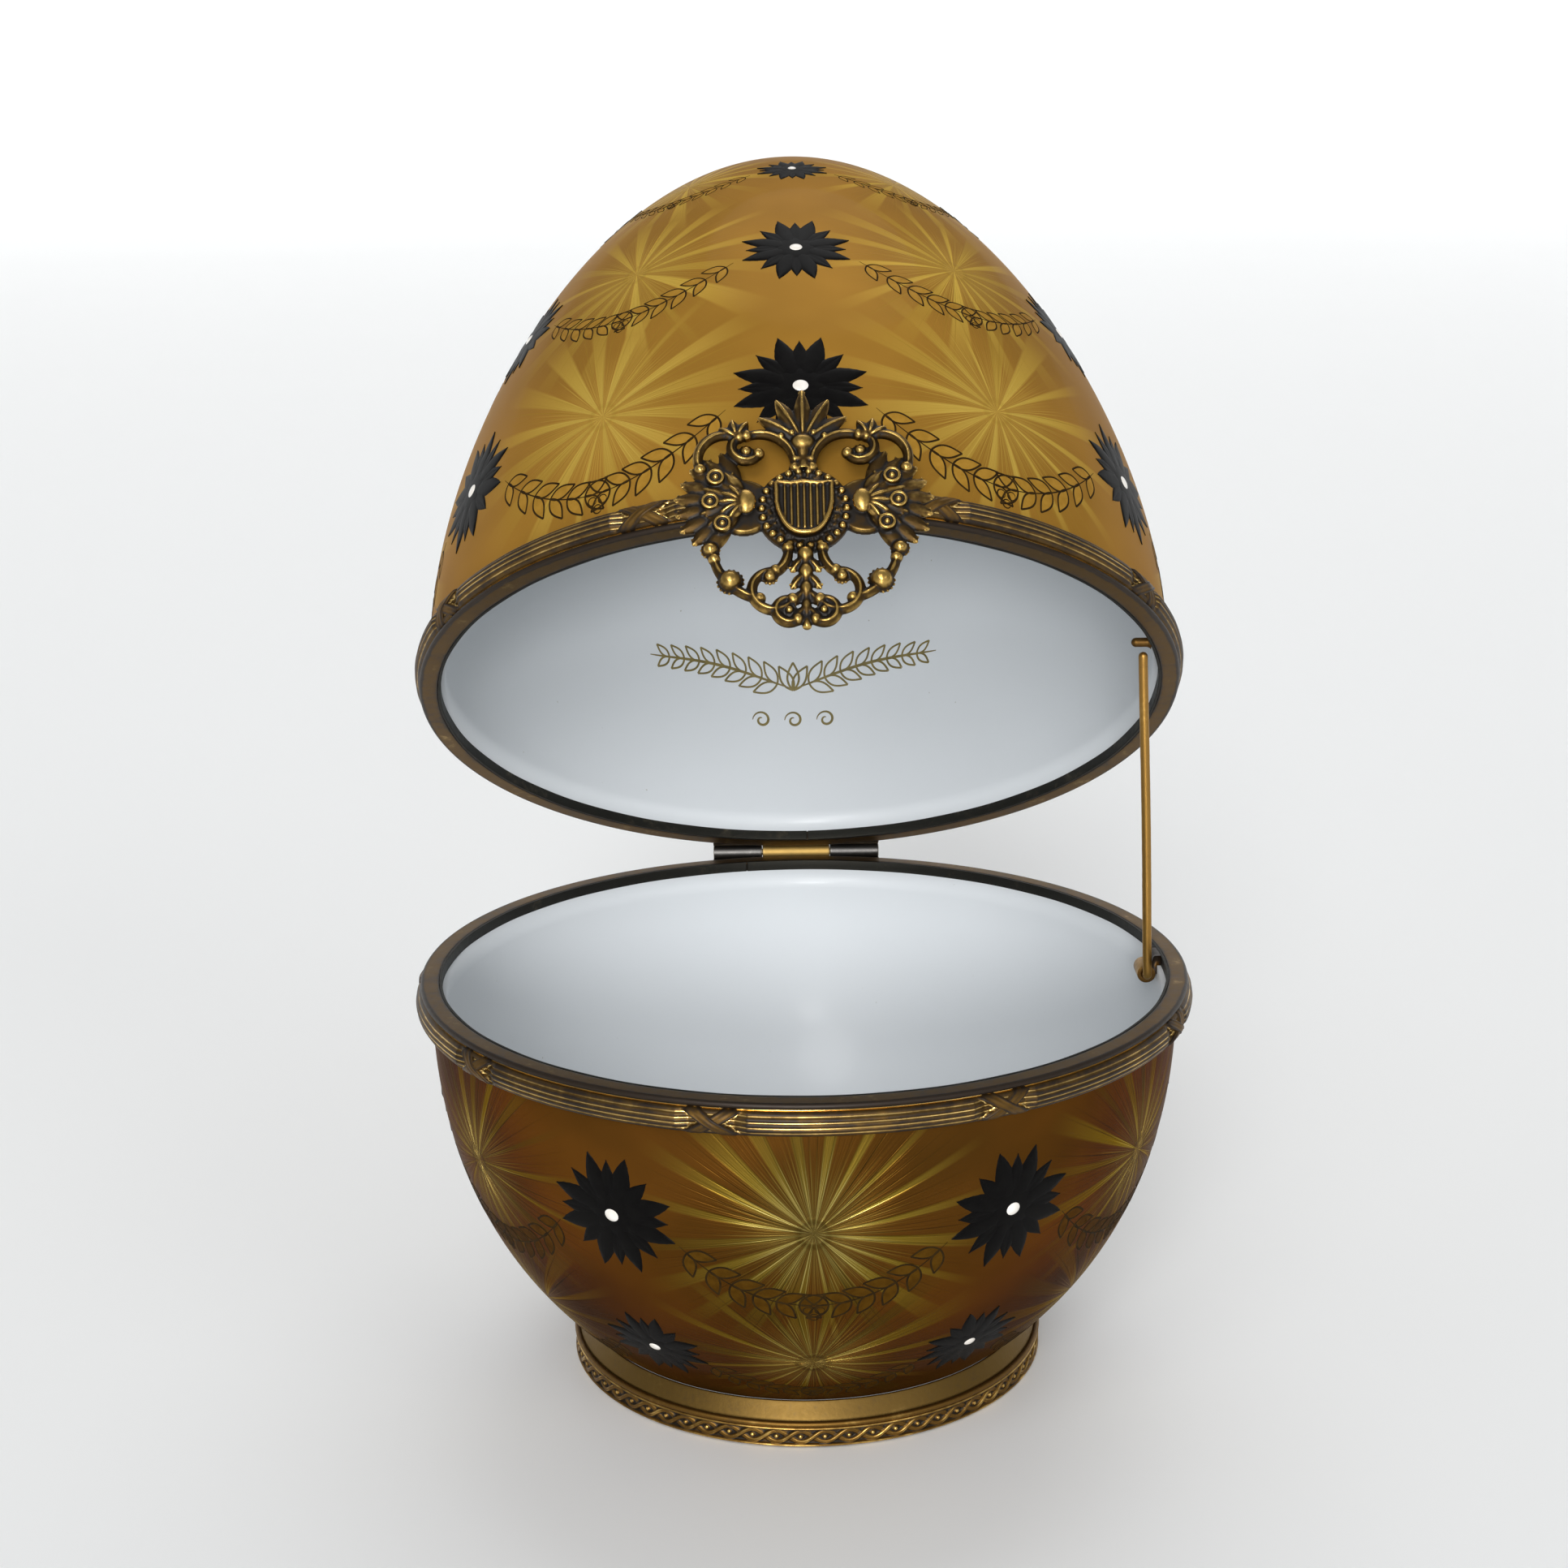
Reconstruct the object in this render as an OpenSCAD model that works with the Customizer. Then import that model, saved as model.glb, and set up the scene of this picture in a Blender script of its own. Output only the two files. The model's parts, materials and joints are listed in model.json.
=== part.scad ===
// Hinged porcelain egg box on a cast brass foot, with its lid propped open.
// The origin is the centre of the foot's underside. +Z is up and the front is -Y.

/* [Porcelain] */
// Height of the plane where the two rims meet
rim_z = 57.7; // [56:0.1:60]
// Height of the lid above the rim plane
lid_h = 87.4; // [80:0.2:94]
// Outside radius of the porcelain at both rims
shell_r = 52.2; // [51:0.1:54]
// Thickness of the porcelain
shell_wall = 2.0; // [1.6:0.1:2.4]
// Height on the lid where its side starts to lean in
lid_side_h = 33.4; // [28:0.2:38]
// How far the lid's side swells beyond the rim radius
lid_swell = 2.2; // [0:0.1:3.5]
// Roundness of the lid's crown, as the reach of its flat top
crown_reach = 31.2; // [26:0.2:36]
// Depth below the rim where the bowl's side starts to lean in
bowl_side_h = 18.1; // [14:0.1:22]
// Reach of the bowl's shoulder outside the foot
shoulder_reach = 17.1; // [14:0.1:19]
// Rise of the bowl's shoulder above the foot
shoulder_rise = 14.1; // [11:0.1:17]
// Height of the bowl's inner floor above the table
floor_z = 6.4; // [5.8:0.1:9]

/* [Rim bands] */
// Height of each reeded brass band
band_h = 4.6; // [4:0.1:5.4]
// Thickness of a band over the porcelain
band_t = 2.2; // [1.8:0.1:2.6]
// Thickness of a band at its free edge
band_edge_t = 0.7; // [0.5:0.1:1]
// Thickness of the lip that covers the ground porcelain edge
lip_t = 0.6; // [0.4:0.1:0.8]
// Height of the smooth bead along the lip
lip_bead_h = 0.9; // [0.7:0.05:1.1]
// Number of reeds on a band
reed_count = 5; // [3:1:6]
// Depth of the grooves between reeds
reed_depth = 0.25; // [0.15:0.05:0.35]
// Space between the two closed rims
rim_gap = 0.3; // [0.2:0.05:0.5]

/* [Ribbon ties] */
// Number of crossed ribbons round each band
tie_count = 9; // [6:1:10]
// Angle from the front to the first tie of the bowl's band
bowl_tie_start = -13.5; // [-20:0.5:20]
// Angle from the front to the first tie of the lid's band
lid_tie_start = -22; // [-32:0.5:-22]
// Width of one ribbon
ribbon_w = 1.5; // [1:0.1:1.8]
// Thickness of a ribbon over the reeds
ribbon_t = 0.3; // [0.2:0.05:0.4]
// Slope of a ribbon across the band
ribbon_slope = 32; // [30:1:48]

/* [Rim linings] */
// Thickness of the plain strip inside each rim
lining_t = 0.4; // [0.3:0.05:0.5]
// Height of the strip
lining_h = 1.5; // [1.2:0.1:1.8]
// How far the strip stands in front of the porcelain's inner face
lining_proud = -0.5; // [-0.7:0.05:-0.3]
// Width of the butt joint where the strip's ends meet
seam_w = 0.15; // [0.1:0.05:0.3]
// Angle from the back to the seam of the bowl's strip
bowl_seam_angle = 9; // [2:1:12]
// Angle from the back to the seam of the lid's strip
lid_seam_angle = -2; // [-6:1:4]

/* [Hinge] */
// Length of the whole hinge
hinge_w = 26.6; // [22:0.2:30]
// Length of the middle tube
middle_tube_w = 10.6; // [8:0.2:13]
// Outside radius of the hinge tubes
tube_r = 1.1; // [0.9:0.05:1.3]
// Radius of the hinge pin
pin_r = 0.5; // [0.4:0.05:0.6]
// Running clearance between the pin and the middle tube
pin_clearance = 0.05; // [0.03:0.01:0.08]
// Space between neighbouring hinge tubes
tube_gap = 0.25; // [0.2:0.05:0.4]
// Clearance round a tube where the other half turns past it
hinge_clearance = 0.3; // [0.25:0.05:0.5]
// Depth that a tube is let into the band
tube_inset = 0.1; // [0:0.05:0.2]
// Height of the seat that ties the tubes to a band
seat_h = 3.8; // [3.2:0.1:4.2]
// Reach of the seat behind the hinge's axis
seat_back = 0.5; // [0.2:0.1:0.8]
// Angle that the lid stands open
open_angle = 38.6; // [30:0.2:42]

/* [Stay] */
// Radius of the stay wire
wire_r = 0.65; // [0.5:0.05:0.75]
// Distance of the stay's pivot inside the outer wall
pivot_inset = 3.5; // [3.3:0.1:4.5]
// Depth of the stay's pivot below the rim plane
pivot_drop = 2.9; // [2.6:0.1:3.4]
// Radius of the pivot tube
pivot_tube_r = 1.3; // [1.1:0.05:1.4]
// Length of the pivot tube
pivot_tube_w = 4; // [3:0.2:6]
// Clearance of the wire in its tube
pivot_clearance = 0.05; // [0.03:0.01:0.08]
// Space between the wire's ends and the tube's faces
pivot_end_gap = 0.15; // [0.1:0.05:0.3]
// Radius of the peg that the stay holds up
peg_r = 0.65; // [0.5:0.05:0.75]
// Height of the peg's axis above the lid's rim
peg_h = 0.9; // [0.85:0.05:1.1]
// Distance of the peg's free end inside the outer wall
peg_inset = 6.9; // [6.2:0.1:8]
// Distance of the stay's upper end inside the outer wall
stay_top_inset = 5.2; // [4.8:0.1:6]
// Space between the stay's upper end and the peg
stay_gap = 0.7; // [0.6:0.05:0.9]

/* [Foot] */
// Radius of the foot at its frieze
foot_r = 33.8; // [33.2:0.1:35]
// Height of the foot
foot_h = 6.2; // [5.8:0.1:6.8]
// Width of the foot outside the porcelain that enters it
foot_step = 2.2; // [1.8:0.1:2.8]
// Width by which the porcelain's flat base is set in from where it enters
base_step = 0.6; // [0.6:0.1:1.6]
// Clearance of the porcelain in the foot
foot_clearance = 0.05; // [0.03:0.01:0.1]
// Width of the porcelain's base ring
base_ring_w = 2.6; // [2:0.1:4]
// Height of the hollow under the porcelain
base_hollow = 1.2; // [0.6:0.1:1.4]
// Height of the flange under the porcelain
flange_z = 1.4; // [1:0.1:1.8]
// Thickness of that flange
flange_t = 1; // [0.8:0.1:1.2]
// Width of that flange
flange_w = 2.4; // [1.6:0.1:4]
// Width of the ring that meets the table
tread_w = 1.7; // [1.2:0.1:2.2]
// Thickness of the frieze strip's ground
frieze_t = 0.35; // [0.3:0.05:0.5]
// Relief of the frieze
frieze_relief = 0.35; // [0.25:0.05:0.5]
// Height of the frieze strip
frieze_h = 2.8; // [2.4:0.1:3]
// Height of the frieze's lower edge above the table
frieze_z = 0.3; // [0.2:0.05:0.5]
// Number of links in the frieze
frieze_links = 64; // [40:2:72]
// Width of the bars of a link
link_w = 0.4; // [0.3:0.05:0.5]
// Radius of the bead wire above the frieze
bead_r = 0.4; // [0.3:0.05:0.5]
// Height of the sloping ledge's lower edge above the bead
ledge_step = 0.1; // [0.05:0.05:0.3]
// Width of the ledge's flat top
ledge_top_w = 0.3; // [0.2:0.05:0.5]

/* [Badge] */
// Space between the badge's back and the bands
badge_gap = 0.5; // [0.35:0.05:0.8]
// Thickness of the badge's openwork plate
plate_t = 1; // [0.8:0.1:1.3]
// Width of the shield
shield_w = 7.4; // [6.4:0.1:8]
// Height of the shield above its point
shield_h = 7.9; // [7:0.1:8.6]
// Height of the shield's face above the plate
shield_t = 1; // [0.7:0.1:1.4]
// Height of the border on the shield's face
border_t = 0.3; // [0.2:0.05:0.4]
// Number of upright ribs on the shield
rib_count = 7; // [5:1:9]
// Width of one of these ribs
rib_w = 0.3; // [0.2:0.05:0.4]
// Radius of the collar round the shield
collar_r = 5.9; // [5.6:0.1:6.3]
// Number of beads on the collar
pearl_count = 26; // [20:1:28]
// Radius of a bead on the collar
pearl_r = 0.5; // [0.4:0.05:0.6]
// Number of feathers in each wing
feather_count = 9; // [6:1:10]
// Length of a feather outside the wing's hub
feather_len = 7; // [6.4:0.1:7.4]
// Width of a feather
feather_w = 2.4; // [1.8:0.1:2.6]
// Number of short feathers over the roots of the long ones
covert_count = 7; // [5:1:8]
// Length of a short feather
covert_len = 4.8; // [4.2:0.1:5.2]
// Width of a short feather
covert_w = 2; // [1.6:0.1:2.4]
// Height of the short feathers above the plate
covert_t = 0.5; // [0.3:0.05:0.7]
// Radius of the wing's shoulder
shoulder_r = 3.8; // [3.4:0.1:4.2]
// Radius of the blank discs on the wings
disc_r = 1.1; // [0.9:0.05:1.2]
// Height of these discs above the plate
disc_t = 1.1; // [0.9:0.05:1.3]
// Length of the leaves that top the badge
plume_len = 7.2; // [6.6:0.1:7.6]
// Width of those leaves
plume_w = 2.1; // [1.8:0.1:2.4]
// Length of the tail's stem
tail_len = 12; // [11:0.1:12.6]
// Width of the tail's stem
tail_w = 2; // [1.6:0.1:2.4]
// Length of the leaves along the tail's stem
bud_len = 3; // [2.6:0.1:3.2]
// Width of those leaves
bud_w = 1.2; // [1:0.05:1.4]
// Width of the scroll bars
bar_w = 1.3; // [1.1:0.1:1.4]
// Height of the spine along a scroll bar
spine_t = 0.4; // [0.2:0.05:0.5]
// Radius of the two studs behind the badge
stud_r = 0.9; // [0.7:0.1:1.1]
// Distance between the two studs
stud_span = 9; // [7:0.5:11]
// Height of the studs above the rim plane
stud_z = 2.3; // [2:0.1:2.6]

/* [Hidden] */
$fn = 64;
// Facets of the wide round faces that small pieces are cut to
wide_fn = 720;
seam_reach = 3;
curve_steps = 24;
reed_steps = 5;
half_gap = rim_gap / 2;
land_top = half_gap + lip_t;
inner_r = shell_r - shell_wall;
lining_r = inner_r - lining_proud;
rebate_r = lining_r + lining_t;
lining_end = half_gap + lining_h;
band_r = shell_r + band_t;
hinge_y = band_r + tube_r - tube_inset;
side_tube_w = (hinge_w - middle_tube_w) / 2 - tube_gap;
side_tube_x = (hinge_w - side_tube_w) / 2;
seat_start = tube_r - 0.1;
seat_reach = hinge_y - sqrt(band_r * band_r - hinge_w * hinge_w / 4);
bowl_depth = rim_z - foot_h;
waist_r = foot_r - foot_step;
base_r = waist_r - base_step;
flange_r = base_r - flange_w;
wall_r = foot_r - frieze_t - frieze_relief;
bead_z = frieze_z + frieze_h + bead_r;
ledge_z = bead_z + bead_r + ledge_step;
base_z = flange_z + flange_t;
wire_bore_r = wire_r + pivot_clearance;
pivot_x = shell_r - pivot_inset;
peg_end_x = shell_r - peg_inset;
stay_top_x = shell_r - stay_top_inset;
pivot_z = rim_z - pivot_drop;
peg_reach = (hinge_y + peg_h * sin(open_angle)) / cos(open_angle);
peg_y = hinge_y - peg_reach;
peg_open_z = rim_z + peg_reach * sin(open_angle) + peg_h * cos(open_angle);
stay_top_z = peg_open_z - peg_r - wire_r - stay_gap;
stay_len = norm([pivot_x - stay_top_x, stay_top_z - pivot_z]);
stay_lean = atan2(pivot_x - stay_top_x, stay_top_z - pivot_z);
tube_front_y = wire_r + pivot_end_gap;
tube_back_y = tube_front_y + pivot_tube_w;
badge_y = -(band_r + badge_gap);
wing_root = [7.5, 0.5];
wing_turn = -16;
wing_fan = 126;
wing_hub = 1.2;
disc_places = [[10.9, 4.1], [11.6, 0.7], [10.1, -2.4]];
border_share = 0.14;
pearl_inset = 0.15;
spine_share = 0.5;
bud_start = -6.6;
bud_step = 2.3;
bud_slope = 40;
bud_pairs = 4;
rib_share = 0.72;
bar_end = 1.25;
shield_curve = 1.05;
shield_shoulder = 0.45;
plume_z = 9.5;
plume_fan = 26;
tail_z = -16.6;

// Point on a cubic curve with the control points p, and the direction there
function curve(p, t) = pow(1 - t, 3) * p[0] + 3 * t * pow(1 - t, 2) * p[1]
    + 3 * t * t * (1 - t) * p[2] + pow(t, 3) * p[3];
function curve_way(p, t) = pow(1 - t, 2) * (p[1] - p[0]) + 2 * t * (1 - t) * (p[2] - p[1])
    + t * t * (p[3] - p[2]);
function inward(p, t, wall) = let (way = curve_way(p, t) / norm(curve_way(p, t)))
    curve(p, t) + wall * [-way[1], way[0]];
function outside(p, steps = curve_steps) = [for (i = [0 : steps]) curve(p, i / steps)];
function inside(p, last, steps = curve_steps) =
    [for (i = [steps : -1 : 0]) inward(p, last * i / steps, shell_wall)];

// Outlines as [radius, distance from the rim plane]
lid_curve = [[shell_r, band_h], [shell_r + lid_swell, lid_side_h], [crown_reach, lid_h], [0, lid_h]];
bowl_curve = [[shell_r, band_h], [shell_r, bowl_side_h],
    [waist_r + shoulder_reach, bowl_depth - shoulder_rise], [waist_r, bowl_depth]];
wall_end = 0.9;
floor_start = inward(bowl_curve, wall_end, shell_wall);
floor_way = curve_way(bowl_curve, wall_end) / norm(curve_way(bowl_curve, wall_end));
floor_blend = 0.55;
floor_drop = rim_z - floor_z - floor_start[1];
floor_curve = [floor_start, floor_start + floor_way * floor_drop * floor_blend / floor_way[1],
    [floor_start[0] * floor_blend, rim_z - floor_z], [0, rim_z - floor_z]];

// Turns [radius, depth below the rim] into a ring below the rim plane
module turned_down(points) {
    translate([0, 0, rim_z])
        mirror([0, 0, 1])
            rotate_extrude()
                polygon(points);
}

// Turns [radius, height above the rim] into a ring of the closed lid
module turned_up(points) {
    translate([0, 0, rim_z])
        rotate_extrude()
            polygon(points);
}

// Moves what is drawn on the closed lid to where the open lid holds it
module open_lid() {
    translate([0, hinge_y, rim_z])
        rotate([-open_angle, 0, 0])
            translate([0, -hinge_y, -rim_z])
                children();
}

// Cylinder along X, centred on its place
module rod_x(r, w) {
    rotate([0, 90, 0])
        cylinder(h = w, r = r, center = true);
}

// Ground porcelain edge with the rebate that the lining lies in
function rim_edge() = [[inner_r, lining_end], [rebate_r, lining_end], [rebate_r, land_top],
    [shell_r, land_top]];

module bowl_shell() {
    base = [[base_r, rim_z - base_z], [base_r - base_ring_w, rim_z - base_z],
        [base_r - base_ring_w, rim_z - base_z - base_hollow], [0, rim_z - base_z - base_hollow]];
    floor_points = [for (i = [curve_steps / 2 : -1 : 1]) curve(floor_curve, 2 * i / curve_steps)];
    color("goldenrod")
        turned_down(concat(rim_edge(), outside(bowl_curve), base, floor_points,
            inside(bowl_curve, wall_end)));
}

module lid_shell() {
    color("goldenrod")
        open_lid()
            turned_up(concat(rim_edge(), outside(lid_curve), [[0, lid_h - shell_wall]],
                [for (point = inside(lid_curve, 1)) if (point[0] > 0.01) point]));
}

// Section of a band: lip over the porcelain edge, smooth bead, then the reeded half round
function swell(u) = sqrt(max(0, 1 - pow(2 * u - 1, 2)));
function reeded_r(u) = shell_r + band_edge_t + swell(u)
    * (band_t - band_edge_t - reed_depth * (1 - abs(sin(180 * reed_count * u))));
function reed_depth_at(u) = half_gap + lip_bead_h + (band_h - half_gap - lip_bead_h) * u;
function band_section() = let (steps = reed_count * reed_steps, top_r = shell_r + band_edge_t)
    concat([[rebate_r, half_gap], [top_r, half_gap]],
        [for (a = [-60 : 30 : 60]) [top_r + lip_bead_h * 0.4 + lip_bead_h / 2 * cos(a),
            half_gap + lip_bead_h / 2 * (1 + sin(a))]],
        [for (i = [0 : steps]) [reeded_r(i / steps), reed_depth_at(i / steps)]],
        [[shell_r, band_h], [shell_r, land_top], [rebate_r, land_top]]);

// Room that a turning hinge tube needs in a band
module hinge_room() {
    translate([0, hinge_y, rim_z])
        rod_x(tube_r + hinge_clearance, hinge_w + 2 * tube_gap);
}

module bowl_rim_band() {
    color("darkgoldenrod")
        difference() {
            turned_down(band_section());
            hinge_room();
        }
}

module lid_rim_band() {
    color("darkgoldenrod")
        open_lid()
            difference() {
                turned_up(band_section());
                hinge_room();
            }
}

// Smooth skin over the reeds, as thick as a ribbon
function skin_r(u, t) = shell_r + band_edge_t + t + (band_t - band_edge_t) * swell(u);
function ribbon_section() = let (steps = reed_count * reed_steps, outer_steps = 2 * reed_count)
    concat([for (i = [0 : steps]) [skin_r(i / steps, 0), reed_depth_at(i / steps)]],
        [for (i = [outer_steps : -1 : 0])
            [skin_r(i / outer_steps, ribbon_t), reed_depth_at(i / outer_steps)]]);

// Two crossed bars that reach outward through the band at the front
module crossed_bars() {
    band_mid = (band_h + half_gap + lip_bead_h) / 2;
    bar_len = 2 * band_h / sin(ribbon_slope);
    translate([0, -band_r, band_mid])
        for (side = [-1, 1])
            rotate([0, side * ribbon_slope, 0])
                cube([bar_len, 4 * band_t, ribbon_w], center = true);
}

// Ties at even steps round the band, without those that the hinge's seat would cover
module ribbon_ties(first_angle) {
    seat_angle = asin((hinge_w / 2 + band_h) / band_r);
    for (i = [0 : tie_count - 1], angle = (first_angle + 360 * i / tie_count + 360) % 360)
        if (abs(angle - 180) > seat_angle)
            rotate([0, 0, angle])
                intersection() {
                    rotate_extrude()
                        polygon(ribbon_section());
                    crossed_bars();
                }
}

module bowl_band_ties() {
    color("peru")
        translate([0, 0, rim_z])
            mirror([0, 0, 1])
                ribbon_ties(bowl_tie_start);
}

module lid_band_ties() {
    color("peru")
        open_lid()
            translate([0, 0, rim_z])
                ribbon_ties(lid_tie_start);
}

function lining_section() = [[lining_r, half_gap], [rebate_r, half_gap], [rebate_r, lining_end],
    [lining_r, lining_end]];

// Cut where the two ends of a lining strip meet
module seam_cut(angle) {
    rotate([0, 0, angle])
        translate([0, lining_r, rim_z])
            cube([seam_w, 2 * seam_reach, 4 * lining_h], center = true);
}

module bowl_rim_lining() {
    color("dimgray")
        difference() {
            turned_down(lining_section());
            seam_cut(bowl_seam_angle);
        }
}

module lid_rim_lining() {
    color("dimgray")
        open_lid()
            difference() {
                turned_up(lining_section());
                seam_cut(lid_seam_angle);
            }
}

// Turned brass ring: tread, flange under the porcelain, straight wall and sloping ledge
module foot_ring() {
    color("gold")
        rotate_extrude()
            polygon([[wall_r - tread_w, 0], [wall_r, 0], [wall_r, ledge_z],
                [waist_r + ledge_top_w, foot_h], [waist_r + foot_clearance, foot_h],
                [base_r + foot_clearance, base_z], [flange_r, base_z], [flange_r, flange_z],
                [wall_r - tread_w, flange_z]]);
}

// One link of the frieze: a lozenge of two crossing bars with a bead at each joint
module frieze_link(link_len) {
    slope = atan2(frieze_h - link_w, link_len);
    for (side = [-1, 1])
        rotate([0, side * slope, 0])
            cube([link_len / cos(slope) - link_w, 2 * frieze_relief, link_w], center = true);
}

module foot_frieze() {
    ground_r = wall_r + frieze_t;
    link_len = 360 / frieze_links * PI / 180 * ground_r;
    edge_h = link_w;
    color("darkgoldenrod")
        translate([0, 0, frieze_z])
            union() {
                difference() {
                    cylinder(h = frieze_h, r = ground_r, $fn = wide_fn);
                    translate([0, 0, -frieze_h])
                        cylinder(h = 3 * frieze_h, r = wall_r, $fn = wide_fn);
                }
                for (z = [0, frieze_h - edge_h])
                    translate([0, 0, z])
                        difference() {
                            cylinder(h = edge_h, r = foot_r, $fn = wide_fn);
                            translate([0, 0, -edge_h])
                                cylinder(h = 3 * edge_h, r = wall_r, $fn = wide_fn);
                        }
                for (i = [0 : frieze_links - 1])
                    rotate([0, 0, 360 * i / frieze_links])
                        translate([0, -ground_r, frieze_h / 2])
                            frieze_link(link_len);
            }
}

module foot_bead() {
    color("gold")
        translate([0, 0, bead_z])
            rotate_extrude()
                difference() {
                    translate([wall_r + frieze_t, 0])
                        circle(r = bead_r, $fn = 24);
                    translate([wall_r - 2 * bead_r, -2 * bead_r])
                        square([2 * bead_r, 4 * bead_r]);
                }
}

// Block soldered to the outside of a band, hollowed for the hinge tubes
module hinge_seat(own_x, own_w, other_x, other_w) {
    difference() {
        translate([0, 0, seat_start])
            linear_extrude(height = seat_h - seat_start)
                difference() {
                    translate([-hinge_w / 2, hinge_y - seat_reach])
                        square([hinge_w, seat_reach + seat_back]);
                    circle(r = band_r, $fn = wide_fn);
                }
        for (x = own_x)
            translate([x, hinge_y, 0])
                rod_x(tube_r, own_w);
        for (x = other_x)
            translate([x, hinge_y, 0])
                rod_x(tube_r + hinge_clearance, other_w);
    }
}

module bowl_hinge_seat() {
    color("dimgray")
        translate([0, 0, rim_z])
            mirror([0, 0, 1])
                hinge_seat([-side_tube_x, side_tube_x], side_tube_w, [0],
                    middle_tube_w + 2 * tube_gap);
}

module lid_hinge_seat() {
    color("dimgray")
        open_lid()
            translate([0, 0, rim_z])
                hinge_seat([0], middle_tube_w, [-side_tube_x, side_tube_x],
                    side_tube_w + 2 * tube_gap);
}

module hinge_tube(x, w, bore) {
    translate([x, hinge_y, rim_z])
        difference() {
            rod_x(tube_r, w);
            rod_x(bore, 2 * w);
        }
}

module hinge_tube_left() {
    color("dimgray")
        hinge_tube(-side_tube_x, side_tube_w, pin_r);
}

module hinge_tube_right() {
    color("dimgray")
        hinge_tube(side_tube_x, side_tube_w, pin_r);
}

module hinge_tube_middle() {
    color("gold")
        open_lid()
            hinge_tube(0, middle_tube_w, pin_r + pin_clearance);
}

module hinge_pin() {
    color("gray")
        translate([0, hinge_y, rim_z])
            rod_x(pin_r, hinge_w);
}

// Tube for the stay's lower end, with the lug that is soldered to the lining
module stay_pivot_tube() {
    color("dimgray")
        difference() {
            union() {
                translate([pivot_x, tube_front_y, pivot_z])
                    rotate([-90, 0, 0])
                        cylinder(h = pivot_tube_w, r = pivot_tube_r);
                intersection() {
                    translate([pivot_x, tube_front_y, pivot_z])
                        cube([shell_wall, pivot_tube_w, pivot_drop - half_gap]);
                    translate([0, 0, rim_z - lining_end])
                        cylinder(h = lining_end, r = lining_r, $fn = wide_fn);
                }
                intersection() {
                    translate([pivot_x, tube_front_y, pivot_z])
                        cube([shell_wall, pivot_tube_w, pivot_drop - half_gap]);
                    cylinder(h = rim_z, r = inner_r, $fn = wide_fn);
                }
            }
            translate([pivot_x, 0, pivot_z])
                rotate([-90, 0, 0])
                    cylinder(h = 2 * tube_back_y, r = wire_bore_r);
        }
}

// Straight wire with a round end, bent at its foot into the tube
module stay_rod() {
    color("gold")
        translate([pivot_x, 0, pivot_z])
            union() {
                rotate([0, -stay_lean, 0]) {
                    cylinder(h = stay_len, r = wire_r);
                    translate([0, 0, stay_len])
                        sphere(r = wire_r);
                }
                sphere(r = wire_r);
                rotate([-90, 0, 0])
                    cylinder(h = tube_back_y + pivot_end_gap, r = wire_r);
            }
}

// Burr that keeps the wire in its tube
module stay_end_button() {
    button_t = 0.5;
    color("gold")
        translate([pivot_x, tube_back_y + pivot_end_gap, pivot_z])
            rotate([-90, 0, 0])
                cylinder(h = button_t, r = (wire_r + pivot_tube_r) / 2);
}

module stay_peg() {
    color("saddlebrown")
        open_lid()
            intersection() {
                translate([peg_end_x + peg_r, peg_y, rim_z + peg_h])
                    union() {
                        rotate([0, 90, 0])
                            cylinder(h = band_r, r = peg_r);
                        sphere(r = peg_r);
                    }
                cylinder(h = 2 * rim_z, r = lining_r, $fn = wide_fn);
            }
}

// Flat pointed leaf between two arcs, from the origin along +Y of the drawing
module leaf(len, w) {
    r = (len * len + w * w) / (4 * w);
    translate([0, len / 2])
        intersection() {
            translate([r - w / 2, 0])
                circle(r = r, $fn = wide_fn);
            translate([w / 2 - r, 0])
                circle(r = r, $fn = wide_fn);
        }
}

// Pointed rib that lies along a leaf, half above its plate
module leaf_rib(len, w) {
    r = (len * len + w * w) / (4 * w);
    rotate([-90, 0, 0])
        rotate_extrude($fn = 24)
            intersection() {
                translate([w / 2 - r, len / 2])
                    circle(r = r, $fn = wide_fn);
                square([w, len]);
            }
}

// Part of a flat ring with round ends, from angle a to angle b
module arc_bar(r, w, a, b) {
    end_w = w * bar_end;
    intersection() {
        difference() {
            circle(r = r + w / 2);
            circle(r = r - w / 2);
        }
        polygon(concat([[0, 0]], [for (i = [0 : 6]) let (s = a + (b - a) * i / 6)
            3 * r * [cos(s), sin(s)]]));
    }
    for (s = [a, b])
        translate(r * [cos(s), sin(s)])
            circle(d = end_w);
}

// Scrolls on +X as [centre, radius, from angle, to angle]
scrolls = [
    [[5.5, 6.3], 4.5, 70, 186], [[7.1, 8.8], 1.8, -150, 70], [[9.6, 7.2], 3.5, -25, 118],
    [[4.2, -5.4], 7.1, -78, -12], [[5.6, -5.8], 3.5, -112, -186], [[3.9, -11.2], 2.7, -150, 95],
    [[2.1, -14], 1.6, -130, 105]];
// Bosses on +X as [centre, radius]
bosses = [[[7.1, 8.1], 0.8], [[9.2, -10], 1.5], [[4.4, -9.4], 0.8], [[2.1, -14], 0.6], [[11.6, -5.6], 1]];

// Outlines of one wing on +X, as a fan of feathers round its shoulder
module each_feather() {
    for (i = [0 : feather_count - 1])
        translate(wing_root)
            rotate(wing_turn - wing_fan * i / (feather_count - 1))
                translate([0, wing_hub])
                    children();
}

// Short feathers of that wing, from the middle of its shoulder
module each_covert() {
    for (i = [0 : covert_count - 1])
        translate(wing_root)
            rotate(wing_turn - wing_fan * i / (covert_count - 1))
                children();
}

// Leaves in pairs that point down along one side of the tail's stem
module each_bud() {
    for (i = [0 : bud_pairs - 1])
        translate([0, bud_start - bud_step * i])
            rotate(180 + bud_slope)
                children();
}

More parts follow.
